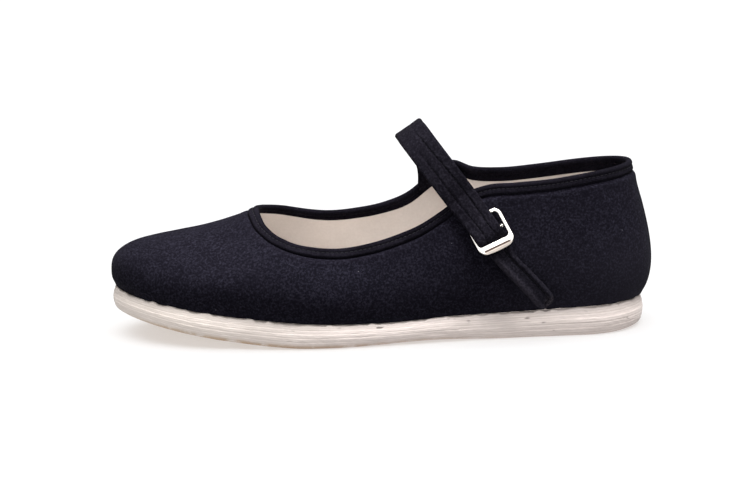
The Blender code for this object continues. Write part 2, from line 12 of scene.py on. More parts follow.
import bmesh
import bpy
import numpy as np
from mathutils import Matrix, Vector, noise


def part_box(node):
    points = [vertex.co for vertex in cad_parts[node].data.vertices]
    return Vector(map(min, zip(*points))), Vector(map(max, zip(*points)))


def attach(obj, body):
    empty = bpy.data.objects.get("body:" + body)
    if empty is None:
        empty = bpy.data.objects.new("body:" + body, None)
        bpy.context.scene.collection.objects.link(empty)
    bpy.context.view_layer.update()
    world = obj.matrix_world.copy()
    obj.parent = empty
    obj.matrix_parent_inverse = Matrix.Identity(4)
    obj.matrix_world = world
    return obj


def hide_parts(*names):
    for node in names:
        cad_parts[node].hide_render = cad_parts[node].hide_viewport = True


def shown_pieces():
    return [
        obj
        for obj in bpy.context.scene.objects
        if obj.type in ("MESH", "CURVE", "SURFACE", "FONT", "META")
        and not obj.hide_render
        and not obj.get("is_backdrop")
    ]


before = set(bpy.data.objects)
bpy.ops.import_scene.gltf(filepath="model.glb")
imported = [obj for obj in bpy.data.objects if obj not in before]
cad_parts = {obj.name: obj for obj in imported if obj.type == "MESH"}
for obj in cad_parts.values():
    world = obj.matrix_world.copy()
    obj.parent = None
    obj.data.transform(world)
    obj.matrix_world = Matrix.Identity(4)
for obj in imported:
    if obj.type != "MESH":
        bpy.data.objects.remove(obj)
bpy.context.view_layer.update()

# %% [markdown]
# The sizes are the maker's own: a last 247 mm long on the sole, a ball 84 mm wide, a collar 78 mm
# high. Everything else is a share of these or a cloth thickness.

# %% Named sizes in metres
SOLE_LENGTH = 0.247
BALL_WIDTH = 0.084
TOE_SWING = 0.005
SOLE_THICKNESS = 0.0134
TOE_SPRING = 0.0126
HEEL_SPRING = 0.0010
ARCH_RISE = 0.0010
SOLE_LAYERS = 6
SIDE_BULGE = 0.0015
BOTTOM_ROUND = 0.0020
TOE_ROUND = 0.20
HEEL_ROUND = 0.13
INSOLE_THICKNESS = 0.0020
COLLAR_HEIGHT = 0.0778
UPPER_WALL = 0.0022
OUTER_CLOTH = 0.0011
UNDER_TAPE = 0.0038
LINING_TOP = 0.0047
FEATHER_INSET = 0.0020
THROAT_SHARE = 0.273
BACK_SHARE = 0.974
LEAN_SHARE = 0.60
THROAT_ROUND = 0.085
BACK_ROUND = 0.12
BINDING_DEPTH = 0.0058
TAPE_OUTSIDE = 0.88
STITCH_DEPTH = 0.0031
STITCH_PITCH = 0.0021
GAP = 0.0003

# %% Tables of the last, as shares of the named sizes
def table(columns, *rows):
    """Rows of numbers whose columns have names."""
    row = namedtuple("Row", columns)
    return [row(*values) for values in rows]


SOLE_PLAN = table(
    "along lateral medial",
    (0.00, 0.410, 0.470),
    (0.18, 0.452, 0.482),
    (0.30, 0.488, 0.492),
    (0.38, 0.500, 0.466),
    (0.50, 0.462, 0.392),
    (0.62, 0.408, 0.338),
    (0.74, 0.372, 0.330),
    (0.86, 0.354, 0.344),
    (1.00, 0.335, 0.335),
)
SOLE_PROFILE = table(
    "along thickness",
    (0.00, 0.745),
    (0.15, 0.820),
    (0.30, 0.850),
    (0.42, 0.785),
    (0.53, 0.720),
    (0.63, 0.805),
    (0.75, 0.900),
    (0.87, 0.965),
    (1.00, 1.000),
)
TOPLINE = table(
    "along lateral medial lateral_height medial_height",
    (0.273, 0.350, 0.320, 0.748, 0.748),
    (0.280, 0.350, 0.320, 0.700, 0.740),
    (0.293, 0.350, 0.320, 0.658, 0.727),
    (0.320, 0.350, 0.320, 0.615, 0.709),
    (0.365, 0.352, 0.325, 0.580, 0.680),
    (0.415, 0.360, 0.338, 0.570, 0.664),
    (0.465, 0.360, 0.340, 0.592, 0.676),
    (0.520, 0.352, 0.338, 0.640, 0.710),
    (0.565, 0.344, 0.332, 0.697, 0.770),
    (0.605, 0.335, 0.324, 0.775, 0.872),
    (0.647, 0.324, 0.316, 0.868, 0.960),
    (0.690, 0.315, 0.310, 0.912, 0.920),
    (0.740, 0.308, 0.305, 0.920, 0.911),
    (0.810, 0.300, 0.298, 0.935, 0.928),
    (0.880, 0.291, 0.291, 0.966, 0.955),
    (0.974, 0.285, 0.285, 1.000, 1.000),
)
WALL = table(
    "along rise rise_reach fall fall_reach",
    (0.00, 65.0, 0.430, 23.5, 0.580),
    (0.04, 65.0, 0.400, 24.5, 0.520),
    (0.10, 65.0, 0.380, 28.0, 0.460),
    (0.20, 64.0, 0.400, 36.0, 0.460),
    (0.32, 62.0, 0.420, 47.0, 0.500),
    (0.45, 62.0, 0.360, 58.0, 0.460),
    (0.60, 61.0, 0.320, 68.0, 0.380),
    (0.80, 57.0, 0.300, 76.0, 0.320),
    (1.00, 49.4, 0.290, 78.0, 0.305),
)
print("Rows in the tables:", len(SOLE_PLAN), len(SOLE_PROFILE), len(TOPLINE), len(WALL))

# %% Read a table on a smooth curve
def read(rows, column, along):
    """A column of a table at shares along the shoe, on a smooth curve through its rows."""
    at = np.array([row.along for row in rows])
    value = np.array([getattr(row, column) for row in rows])
    slope = np.diff(value) / np.diff(at)
    step = np.diff(at)
    inner = (slope[:-1] * step[1:] + slope[1:] * step[:-1]) / (step[1:] + step[:-1])
    tangent = np.concatenate([[slope[0]], inner, [slope[-1]]])
    along = np.clip(along, at[0], at[-1])
    i = np.clip(np.searchsorted(at, along, side="right") - 1, 0, len(at) - 2)
    t = (along - at[i]) / step[i]
    start, end = tangent[i] * step[i], tangent[i + 1] * step[i]
    cubic = 2 * value[i] + start - 2 * value[i + 1] + end
    square = -3 * value[i] - 2 * start + 3 * value[i + 1] - end
    return ((cubic * t + square) * t + start) * t + value[i]


print("Sole half widths at the ball:", read(SOLE_PLAN, "lateral", 0.38) * BALL_WIDTH)

# %% [markdown]
# The outline is walked by an angle: 0 at the toe, by the outer side of the foot to pi at the heel,
# and back by the inner side. Rounded ends grow the half widths like an ellipse does.

# %% Outlines of the sole and of the topline
def rounding(along, first, last, first_round, last_round):
    """How far a half width has grown from the rounded ends at first and last, from 0 to 1."""
    from_first = np.clip((along - first) / first_round, 0, 1)
    from_last = np.clip((last - along) / last_round, 0, 1)
    return np.sqrt((1 - (1 - from_first) ** 2) * (1 - (1 - from_last) ** 2))


def share_at(angle):
    return (1 - np.cos(angle)) / 2


def length_at(along):
    return (along - 0.5) * SOLE_LENGTH


def share_of(x):
    return np.clip(x / SOLE_LENGTH + 0.5, 0, 1)


def plan_points(rows, along, angle, grown):
    """Points of a plan outline, on the outer side where the angle's sine is positive."""
    outer = np.sin(angle) >= 0
    half = np.where(outer, read(rows, "lateral", along), read(rows, "medial", along))
    half = half * BALL_WIDTH * grown
    centre = TOE_SWING * np.maximum(0, 1 - along / 0.45) ** 2
    y = centre + np.where(outer, -half, half)
    return np.stack([length_at(along), y, np.zeros_like(y)], axis=-1)


def sole_outline(angle):
    along = share_at(angle)
    return plan_points(
        SOLE_PLAN, along, angle, rounding(along, 0.0, 1.0, TOE_ROUND, HEEL_ROUND)
    )


def topline_share(angle):
    """Where along the shoe the wall that leaves the sole at this angle meets the topline."""
    along = share_at(angle)
    lean = THROAT_SHARE * np.maximum(0, 1 - along / LEAN_SHARE) ** 2
    back = (1 - BACK_SHARE) * np.maximum(0, (along - LEAN_SHARE) / (1 - LEAN_SHARE)) ** 2
    return along + lean - back


def topline_plan(angle):
    along = topline_share(angle)
    grown = rounding(along, THROAT_SHARE, BACK_SHARE, THROAT_ROUND, BACK_ROUND)
    return plan_points(TOPLINE, along, angle, grown)


def unit(vectors):
    return vectors / np.linalg.norm(vectors, axis=-1, keepdims=True)


def outward(outline, angle):
    """The level direction out of a plan outline."""
    step = 1e-3
    along = outline(angle + step) - outline(angle - step)
    return unit(np.stack([along[..., 1], -along[..., 0], np.zeros_like(angle)], axis=-1))


# %% The floor under the sole and the seat on top of it
def floor_rise(along):
    """Height of the sole's underside: toe spring, a slight arch and a slight lift at the heel."""
    toe = TOE_SPRING * np.maximum(0, 1 - along / 0.345) ** 1.4
    heel = HEEL_SPRING * np.maximum(0, (along - 0.90) / 0.10) ** 2
    waist = np.maximum(0, 1 - np.abs(along - 0.575) / 0.155)
    return toe + heel + ARCH_RISE * waist * waist * (3 - 2 * waist)


def seat_height(along):
    return floor_rise(along) + read(SOLE_PROFILE, "thickness", along) * SOLE_THICKNESS


# %% [markdown]
# The CAD part was moved so that its box stands in the middle. The sole's box in the frame says how
# far, so the pieces made here can be moved by the same amount.

# %% Where the frame lies
around = np.linspace(0, 2 * np.pi, 721)
edge = sole_outline(around)
sole_low, sole_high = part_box("sole")
SHIFT = np.array(
    [
        (sole_low.x + sole_high.x) / 2,
        (sole_low.y + sole_high.y) / 2 - (edge[:, 1].min() + edge[:, 1].max()) / 2,
        0.0,
    ]
)
print("The frame lies off the last by (mm):", SHIFT * 1000)

# %% [markdown]
# The upper stands on the sole and leans in to the topline. At each angle its outside is one smooth
# curve from the sole to the topline, steep and full at the heel, long and flat over the toes.

# %% The wall of the upper
def wall_curves(angle, steps=64):
    """The outside of the upper at some angles, from sole to topline, and each point's depth."""
    along, top_along = share_at(angle), topline_share(angle)
    out, top_out = outward(sole_outline, angle), outward(topline_plan, angle)
    foot = sole_outline(angle) - out * FEATHER_INSET
    foot[:, 2] = seat_height(share_of(foot[:, 0])) + GAP
    top = topline_plan(angle)
    high = np.where(
        np.sin(angle) >= 0,
        read(TOPLINE, "lateral_height", top_along),
        read(TOPLINE, "medial_height", top_along),
    )
    top[:, 2] = high * COLLAR_HEIGHT
    span = np.linalg.norm(top - foot, axis=1)[:, None]
    rise, fall = (np.radians(read(WALL, name, along))[:, None] for name in ("rise", "fall"))
    rise_reach = read(WALL, "rise_reach", along)[:, None] * span
    fall_reach = read(WALL, "fall_reach", along)[:, None] * span
    up = np.array([0.0, 0.0, 1.0])
    above = foot + (out * np.cos(rise) + up * np.sin(rise)) * rise_reach
    below = top + (top_out * np.cos(fall) - up * np.sin(fall)) * fall_reach
    t = np.linspace(0, 1, steps + 1)[None, :, None]
    ends = [p[:, None, :] for p in (foot, above, below, top)]
    weights = ((1 - t) ** 3, 3 * (1 - t) ** 2 * t, 3 * (1 - t) * t * t, t**3)
    points = sum(p * w for p, w in zip(ends, weights))
    lengths = np.linalg.norm(np.diff(points, axis=1), axis=2)
    depth = np.concatenate(
        [np.cumsum(lengths[:, ::-1], axis=1)[:, ::-1], np.zeros((len(angle), 1))], axis=1
    )
    return points, depth


def wall_points(angle, depth):
    """Points of the upper's outside at these depths below the topline."""
    points, depths = wall_curves(angle)
    depth = np.broadcast_to(depth, (len(angle), np.shape(depth)[-1]))
    placed = np.empty(depth.shape + (3,))
    for i in range(len(angle)):
        for axis in range(3):
            placed[i, :, axis] = np.interp(depth[i], depths[i, ::-1], points[i, ::-1, axis])
    return placed


def wall_frame(angle, depth):
    """Points of the upper's outside and the directions out of it."""
    placed = wall_points(angle, depth)
    turn, step = 2e-3, 4e-4
    beside = wall_points(angle + turn, depth) - wall_points(angle - turn, depth)
    down = wall_points(angle, depth + step) - wall_points(angle, np.maximum(depth - step, 0))
    return placed, unit(np.cross(down, beside))


def wall_length(angle):
    return wall_curves(angle)[1][:, 0]


def stations(count):
    """Angles round the shoe, closer together where the side of the foot is."""
    even = np.linspace(0, 2 * np.pi, count + 1)
    return even + 0.20 * np.sin(2 * even)


print("Length of the wall at toe and heel (mm):", wall_length(np.array([0.0, np.pi])) * 1000)

# %% [markdown]
# Every cloth piece starts as a flat grid. Its corners are laid where the real cloth lies, and its
# UV map is in metres along and across the cloth, so that a weave can follow it.

# %% Helpers that lay a grid in place and finish a piece
def mesh_data(name, mesh):
    """Keeps a bmesh as a mesh of its own."""
    data = bpy.data.meshes.new(name)
    mesh.to_mesh(data)
    mesh.free()
    return data


def put_in_scene(name, data):
    thing = bpy.data.objects.new(name, data)
    bpy.context.scene.collection.objects.link(thing)
    return thing


def lay_grid(name, points, along, across):
    """Lays a grid with one corner at each of points[row][column]."""
    rows, columns = points.shape[:2]
    mesh = bmesh.new()
    bmesh.ops.create_grid(mesh, x_segments=columns - 1, y_segments=rows - 1, size=1.0)
    data = mesh_data(name, mesh)
    flat = np.zeros(rows * columns * 3)
    data.vertices.foreach_get("co", flat)
    flat = flat.reshape(-1, 3)
    column = np.rint((flat[:, 0] + 1) / 2 * (columns - 1)).astype(int)
    row = np.rint((flat[:, 1] + 1) / 2 * (rows - 1)).astype(int)
    data.vertices.foreach_set("co", (points[row, column] + SHIFT).ravel())
    corner = np.zeros(len(data.loops), dtype=int)
    data.loops.foreach_get("vertex_index", corner)
    layer = data.uv_layers.new(name="cloth")
    along = np.broadcast_to(along, (rows, columns))
    across = np.broadcast_to(across, (rows, columns))
    uv = np.stack([along[row, column], across[row, column]], axis=1)[corner]
    layer.data.foreach_set("uv", uv.ravel())
    return data


def join_edges(data, reach=1e-7):
    """Joins corners that lie on each other and turns the faces outwards."""
    mesh = bmesh.new()
    mesh.from_mesh(data)
    bmesh.ops.remove_doubles(mesh, verts=mesh.verts[:], dist=reach)
    bmesh.ops.dissolve_degenerate(mesh, edges=mesh.edges[:], dist=1e-8)
    bmesh.ops.recalc_face_normals(mesh, faces=mesh.faces[:])
    open_edges = sum(1 for side in mesh.edges if len(side.link_faces) != 2)
    mesh.to_mesh(data)
    mesh.free()
    return open_edges


def show(name, data, finish, slot, *nodes):
    """Makes the piece's object, smooth, riding on the shoe's one body."""
    data.materials.append(finish)
    data.shade_smooth()
    piece = put_in_scene(name, data)
    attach(piece, "root")
    if nodes:
        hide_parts(*nodes)
    triangles = sum(len(face.vertices) - 2 for face in data.polygons)
    print(name, "has", triangles, "triangles")
    return piece


def cloth_piece(name, points, along, across, finish, slot, *nodes, reach=1e-7):
    data = lay_grid(name, points, along, across)
    print("Open edges:", join_edges(data, reach))
    return show(name, data, finish, slot, *nodes)


# %% Helpers for soft shapes
def uneven(points, size, seed):
    """Soft unevenness between about -1 and 1, in lumps of the given size."""
    flat = points.reshape(-1, 3) / size + seed * 17.3
    return np.array([noise.noise(Vector(p)) for p in flat]).reshape(points.shape[:-1])


def bump_at(value, middle, width):
    """A smooth hill of height 1."""
    return np.exp(-(((value - middle) / width) ** 2))


def ramp(value, low, high):
    """A smooth step from 0 at low to 1 at high."""
    t = np.clip((value - low) / (high - low), 0, 1)
    return t * t * (3 - 2 * t)


def ring_length(points):
    """Distance walked round a closed ring, for a UV map."""
    steps = np.linalg.norm(np.diff(points, axis=0), axis=1)
    return np.concatenate([[0], np.cumsum(steps)])


# %% [markdown]
# Materials are made of nodes. A small class keeps their code short: it starts a material, sets the
# plain values on the shader's own sockets, and each of its methods adds a node and joins its inputs.

# %% A material in the making
class Finish:
    def __init__(self, name, **plain):
        self.made = bpy.data.materials.new(name)
        self.made.use_nodes = True
        self.tree = self.made.node_tree
        self.shader = self.tree.nodes["Principled BSDF"]
        for key, value in plain.items():
            self.shader.inputs[key.replace("_", " ")].default_value = value
        self.where = self.add("TexCoord").outputs["Object"]
        print("Material", name)

    def add(self, kind, inputs=None, **settings):
        """Adds a node; inputs take either a value or another node's output."""
        made = self.tree.nodes.new("ShaderNode" + kind)
        for key, value in settings.items():
            setattr(made, key, value)
        for key, value in (inputs or {}).items():
            if isinstance(value, bpy.types.NodeSocket):
                self.tree.links.new(value, made.inputs[key])
            else:
                made.inputs[key].default_value = value
        return made

    def math(self, operation, *values):
        return self.add("Math", dict(enumerate(values)), operation=operation).outputs[0]

    def times(self, *values):
        return reduce(lambda a, b: self.math("MULTIPLY", a, b), values)

    def plus(self, *values):
        return reduce(lambda a, b: self.math("ADD", a, b), values)

    def size_of(self, value):
        return self.math("ABSOLUTE", value)

    def vector(self, operation, first, second):
        made = self.add("VectorMath", {0: first, 1: tuple(second)}, operation=operation)
        return made.outputs[0 if operation == "SUBTRACT" else "Value"]

    def split(self, vector):
        return self.add("SeparateXYZ", {0: vector}).outputs

    def cloth_map(self):
        """Distances along and across the cloth, from the piece's own UV map."""
        return self.split(self.add("UVMap", uv_map="cloth").outputs[0])

    def noise(self, scale, detail, roughness, stretch=None):
        where = self.where
        if stretch:
            where = self.add("Mapping", {0: where, 3: stretch}).outputs[0]
        inputs = {"Vector": where, "Scale": scale, "Detail": detail, "Roughness": roughness}
        return self.add("TexNoise", inputs).outputs["Fac"]

    def remap(self, value, low, high, to_low=0.0, to_high=1.0):
        inputs = {"Value": value, 1: low, 2: high, 3: to_low, 4: to_high}
        return self.add("MapRange", inputs).outputs[0]

    def mix(self, share, first, second):
        """Goes from one colour to another. A plain colour is three numbers."""
        first, second = (c + (1.0,) if isinstance(c, tuple) else c for c in (first, second))
        return self.add("Mix", {0: share, 6: first, 7: second}, data_type="RGBA").outputs[2]

    def wire(self, socket, value):
        self.tree.links.new(value, self.shader.inputs[socket])

    def paint(self, colour, *coats):
        """Sets the base colour and lays coats over it, each a share and a colour."""
        for share, coat in coats:
            colour = self.mix(share, colour, coat)
        self.wire("Base Color", colour)

    def bump(self, height, strength, distance):
        inputs = {"Strength": strength, "Distance": distance, "Height": height}
        self.wire("Normal", self.add("Bump", inputs).outputs[0])


# %% A plain weave
def threads(finish, a, b, pitch):
    """Height of a plain weave: threads go over and under each other like a chequerboard."""
    wave_a, wave_b = (finish.math("SINE", finish.times(way, math.pi / pitch)) for way in (a, b))
    round_a, round_b = finish.size_of(wave_a), finish.size_of(wave_b)
    warp_on_top = finish.math("GREATER_THAN", finish.times(wave_a, wave_b), 0.0)
    picked = finish.add("Mix", {0: warp_on_top, 2: round_a, 3: round_b}).outputs[0]
    return finish.times(picked, finish.plus(round_a, round_b), 0.5)


# %% [markdown]
# The upper is a fine black cotton with a navy cast. Up close its threads are uneven: some catch the
# light and look grey, and a little lint sits on it. The toe is curved both ways, so no flat UV map
# fits it. The weave is read from the object's own coordinates on the plane that the cloth faces.
# Painted light lightens the foot of the heel.

# %% Black cotton of the upper
def weave_on_object(finish, pitch):
    """A plain weave on whichever of the three planes the surface faces."""
    x, y, z = finish.split(finish.where)
    facing = finish.split(finish.add("NewGeometry").outputs["Normal"])
    nx, ny, nz = (finish.math("POWER", finish.size_of(part), 6.0) for part in facing)
    planes = ((y, z, nx), (x, z, ny), (x, y, nz))
    height = finish.plus(*(finish.times(threads(finish, a, b, pitch), w) for a, b, w in planes))
    return finish.math("DIVIDE", height, finish.plus(nx, ny, nz))


def black_cotton(name, dark, light, highlit_tip=None, highlit_ridge=None):
    """Black cotton. A strap has a painted highlight at its tip, at a point, and a painted highlight
    along a ridge: where it starts along the cloth and how far across it lies."""
    cloth = Finish(
        name,
        Roughness=0.85,
        Sheen_Weight=0.004,
        Sheen_Roughness=0.50,
        Specular_IOR_Level=0.015,
    )
    weave = weave_on_object(cloth, 0.00045)
    heather = cloth.noise(1000.0, 3.0, 0.75)
    patches = cloth.noise(90.0, 3.0, 0.6)
    grey = cloth.plus(cloth.times(heather, 0.91), cloth.times(patches, 0.09))
    x, _, z = cloth.split(cloth.where)
    # Painted light: the foot of the heel is lightened.
    painted_heel_light = cloth.times(cloth.remap(x, 0.040, 0.110), cloth.remap(z, 0.050, 0.022))
    share = cloth.times(
        cloth.remap(grey, 0.46, 0.74),
        cloth.remap(weave, 0.0, 1.0, 0.5, 1.0),
        cloth.remap(painted_heel_light, 0.0, 1.0, 1.0, 1.35),
    )
    coats = [(cloth.times(painted_heel_light, 0.40), (0.0182, 0.0168, 0.0238))]
    # A painted highlight lightens the ridge that the roll raises.
    if highlit_ridge:
        along, across, _ = cloth.cloth_map()
        ridge_highlight = cloth.times(
            cloth.remap(cloth.size_of(cloth.math("SUBTRACT", across, highlit_ridge[1])), 0.0021, 0.0004),
            cloth.remap(along, highlit_ridge[0], highlit_ridge[0] + 0.008),
            cloth.remap(grey, 0.38, 0.60, 0.15, 0.75),
        )
        coats.append((ridge_highlight, (0.027, 0.024, 0.032)))
    # A painted highlight lightens the strap's tip.
    if highlit_tip is not None:
        tip_highlight = cloth.remap(cloth.vector("DISTANCE", cloth.where, highlit_tip), 0.0050, 0.0012, 0.0, 0.45)
        coats.append((cloth.times(tip_highlight, cloth.remap(grey, 0.40, 0.62)), (0.105, 0.090, 0.100)))
    lint = cloth.add("TexVoronoi", {"Vector": cloth.where, "Scale": 130.0}).outputs["Distance"]
    rare = cloth.remap(cloth.noise(95.0, 1.0, 0.5), 0.60, 0.66)
    coats.append((cloth.times(cloth.remap(lint, 0.042, 0.018), rare), (0.10, 0.095, 0.11)))
    cloth.paint(cloth.mix(share, dark, light), *coats)
    cloth.bump(cloth.plus(weave, cloth.times(heather, 0.9)), 0.55, 0.00018)
    return cloth.made


UPPER_COTTON = black_cotton(
    "black_cotton_fine", (0.0032, 0.0028, 0.0050), (0.0218, 0.0204, 0.0312)
)

# %% [markdown]
# The outer cloth is drawn over the last from the sole to the topline. Pulled cloth is never quite
# even: there are slow swells over the toes, a dent where the tape was sewn on, small gathers where
# the cloth turns under at the toe, and a slack fold below the buckle.

# %% How the outer cloth is drawn
def drawn_cloth(depth, placed, length):
    """How far the outer cloth stands off the last's own surface."""
    from_sole = np.maximum(length[:, None] - depth, 0)
    along = share_of(placed[..., 0])
    toe = ramp(along, 0.34, 0.05)
    swell = 0.00035 * uneven(placed, 0.030, 1) * ramp(depth, 0.006, 0.016)
    fine = 0.00010 * uneven(placed, 0.009, 2)
    # The groove under the tape's lower edge, and the cloth that puffs up below it
    seam = -0.00060 * ramp(depth, 0.0058, 0.0047) - 0.00090 * bump_at(depth, 0.0055, 0.0007)
    puff = 0.00020 * bump_at(depth, 0.0080, 0.0016)
    # Gathers where the cloth turns under at the toe
    girth = ring_length(placed[:, -1])[:, None]
    gather = np.sin(girth / 0.0042 + 1.7 * uneven(placed, 0.02, 3))
    gather = 0.00016 * gather * toe * ramp(from_sole, 0.013, 0.001)
    # The slack fold below the buckle, and the crease where the foot bends
    outer_side = placed[..., 1] < 0
    crease = placed[..., 0] * math.sin(0.62) + placed[..., 2] * math.cos(0.62)
    slack = bump_at(crease, 0.0625, 0.0055) * bump_at(placed[..., 0], 0.020, 0.020) * outer_side
    bend = bump_at(placed[..., 0] - 0.35 * placed[..., 2], -0.047, 0.006)
    bend = bend * ramp(from_sole, 0.001, 0.012) * ramp(depth, 0.022, 0.010)
    # The cloth is drawn in at the sole, and the toe and heel are rubbed flatter
    tuck = -0.0003 * ramp(from_sole, 0.0012, 0.0)
    worn = 0.0005 * bump_at(from_sole, 0.005, 0.003) - 0.0009 * bump_at(from_sole, 0.019, 0.009)
    worn = worn * ramp(along, 0.20, 0.04) + 0.0004 * ramp(along, 0.93, 1.0)
    flat = -0.0005 * ramp(along, 0.30, 0.20) * ramp(from_sole, 0.022, 0.034)
    drawn_in = 0.00045 * slack + 0.00030 * bend
    return swell + fine + seam + puff + gather - drawn_in + tuck + worn + flat


# %% The upper
def make_upper():
    angle = stations(560)
    length = wall_length(angle)
    share = np.linspace(0, 1, 76) ** 0.9
    outer_depth = UNDER_TAPE + (length[:, None] - UNDER_TAPE) * share
    placed, out = wall_frame(angle, outer_depth)
    off = drawn_cloth(outer_depth, placed, length)
    off[-1] = off[0]
    outside = placed + out * off[..., None]
    girth = ring_length(placed[:, -1])
    # The bottom edge is whipped to the sole, which leaves it wavy
    wave = 0.00020 * np.sin(girth / 0.0014) * np.cos(girth / 0.0067 + 1.0)
    wave = 0.00030 + wave + 0.00010 * np.sin(girth / 0.0036 + 2.0)
    near_sole = bump_at(length[:, None] - outer_depth, 0.0, 0.0016)
    wave = (near_sole * wave[:, None])[..., None]
    outside = outside + outward(sole_outline, angle)[:, None] * wave
    outside[-1] = outside[0]
    inner_depth = UNDER_TAPE + (length[:, None] - UNDER_TAPE) * np.linspace(1, 0, 14)
    placed, out = wall_frame(angle, inner_depth)
    inside = placed - out * OUTER_CLOTH
    inside[-1] = inside[0]
    section = np.concatenate([outside, inside, outside[:, :1]], axis=1)
    rows = np.swapaxes(section, 0, 1)
    down = np.concatenate([outer_depth, inner_depth, outer_depth[:, :1]], axis=1).T
    cotton = (UPPER_COTTON, "black_cotton", "upper")
    return cloth_piece("upper_cloth", rows, girth[None, :], down, *cotton)


make_upper()

# %% [markdown]
# The lining is plain undyed cotton, pasted to the back of the outer cloth. It shows inside the
# collar, where it is a warm pale grey in the shade.

# %% White cotton for the lining
def white_cotton(name, light, dark):
    cloth = Finish(
        name, Roughness=0.92, Sheen_Weight=0.15, Sheen_Roughness=0.5, Specular_IOR_Level=0.2
    )
    weave = weave_on_object(cloth, 0.0005)
    slub = cloth.noise(900.0, 2.0, 0.6)
    patches = cloth.noise(45.0, 4.0, 0.6)
    share = cloth.plus(cloth.times(patches, 0.6), cloth.times(slub, 0.4))
    cloth.paint(cloth.mix(cloth.remap(share, 0.35, 0.68), dark, light))
    cloth.bump(cloth.plus(weave, cloth.times(slub, 0.8)), 0.45, 0.00018)
    return cloth.made


LINING_COTTON = white_cotton("lining_cotton", (0.620, 0.570, 0.535), (0.545, 0.497, 0.462))

# %% The lining
def make_lining():
    angle = stations(400)
    length = wall_length(angle)
    share = np.linspace(0, 1, 44)
    depth = LINING_TOP + (length[:, None] - LINING_TOP) * share
    placed, out = wall_frame(angle, depth)
    soft = 0.00022 * uneven(placed, 0.022, 5) + 0.00008 * uneven(placed, 0.006, 6)
    soft = soft * ramp(depth, 0.007, 0.014)
    inside = placed - out * (UPPER_WALL - 0.0001 - soft)[..., None]
    back = placed[:, ::-1] - out[:, ::-1] * (OUTER_CLOTH + 0.00012)
    section = np.concatenate([inside, back, inside[:, :1]], axis=1)
    section[-1] = section[0]
    depths = np.concatenate([depth, depth[:, ::-1], depth[:, :1]], axis=1)
    girth = ring_length(placed[:, 0])
    rows = np.swapaxes(section, 0, 1)
    cotton = (LINING_COTTON, "insole_cloth")
    return cloth_piece("lining", rows, girth[None, :], depths.T, *cotton)


make_lining()

# %% [markdown]
# Black tape is folded over the topline and sewn through all layers. Its edge is plump, the thread
# pulls a furrow into it a third of the way down, and its lower edge sits in a dark groove.

# %% Black tape
def black_tape(name, ribs):
    cloth = Finish(
        name,
        Roughness=0.85,
        Sheen_Weight=0.002,
        Sheen_Roughness=0.4,
        Specular_IOR_Level=0.012,
    )
    along, across, _ = cloth.cloth_map()
    grain = cloth.noise(1500.0, 2.0, 0.7)
    patches = cloth.noise(70.0, 3.0, 0.6)
    share = cloth.remap(cloth.plus(cloth.times(grain, 0.7), cloth.times(patches, 0.3)), 0.40, 0.70)
    cloth.paint(cloth.mix(share, (0.0023, 0.0020, 0.0032), (0.0092, 0.0082, 0.0124)))
    weave = threads(cloth, along, across, ribs)
    cloth.bump(cloth.plus(weave, cloth.times(grain, 0.6)), 0.5, 0.00015)
    return cloth.made


BINDING_TAPE = black_tape("binding_tape", 0.0006)

# %% The folded tape
TAPE_FACE = table(
    "along rise",
    (0.0000, -0.0011),
    (0.0002, -0.00045),
    (0.0007, 0.00010),
    (0.0015, 0.00042),
    (0.0023, 0.00036),
    (0.0028, 0.00010),
    (0.0031, -0.00006),
    (0.0034, 0.00008),
    (0.0042, 0.00022),
    (0.0050, 0.00020),
    (0.0056, -0.00010),
    (0.0058, -0.00060),
)


def tape_face(depth, girth, placed, seed):
    """How far the tape stands off the last: its section, puckered between the stitches."""
    base = read(TAPE_FACE, "rise", depth)
    pucker = np.cos(2 * np.pi * girth / STITCH_PITCH)
    pucker = 0.00007 * pucker * bump_at(depth, 0.0033, 0.0011)
    rough = 0.00010 * uneven(placed, 0.005, seed) * bump_at(depth, 0.0028, 0.0024)
    return base + (pucker + rough) * ramp(depth, 0.0, 0.0006)


def make_binding():
    angle = stations(1560)
    depth = [0, 0.1, 0.3, 0.6, 1, 1.4, 1.8, 2.2, 2.6, 2.9, 3.1, 3.3, 3.7, 4.2, 4.7, 5.2, 5.6, 5.8]
    depth = np.array(depth) / depth[-1] * BINDING_DEPTH
    on_last = wall_points(angle, depth)
    girth = ring_length(on_last[:, 0])
    girth = girth * (round(girth[-1] / STITCH_PITCH) * STITCH_PITCH / girth[-1])
    front = tape_face(depth[None, :], girth[:, None], on_last, 11)
    back = tape_face(depth[None, :], girth[:, None] + 0.4 * STITCH_PITCH, on_last, 12)
    placed, out = wall_frame(angle, depth * TAPE_OUTSIDE)
    deeper = 1 + 0.23 * ramp(topline_share(angle), 0.50, 0.60)[:, None]
    inside, inside_out = wall_frame(angle, depth[None, :] * deeper)
    front = (placed + out * front[..., None])[:, ::-1]
    back = inside - inside_out * (UPPER_WALL + back)[..., None]
    section = np.concatenate([front, back[:, 1:], front[:, :1]], axis=1)
    section[-1] = section[0]
    width = 0.0004 * np.arange(section.shape[1])[:, None]
    tape = (BINDING_TAPE, "black_binding", "topline_binding")
    return cloth_piece("binding", np.swapaxes(section, 0, 1), girth[None, :], width, *tape)


make_binding()
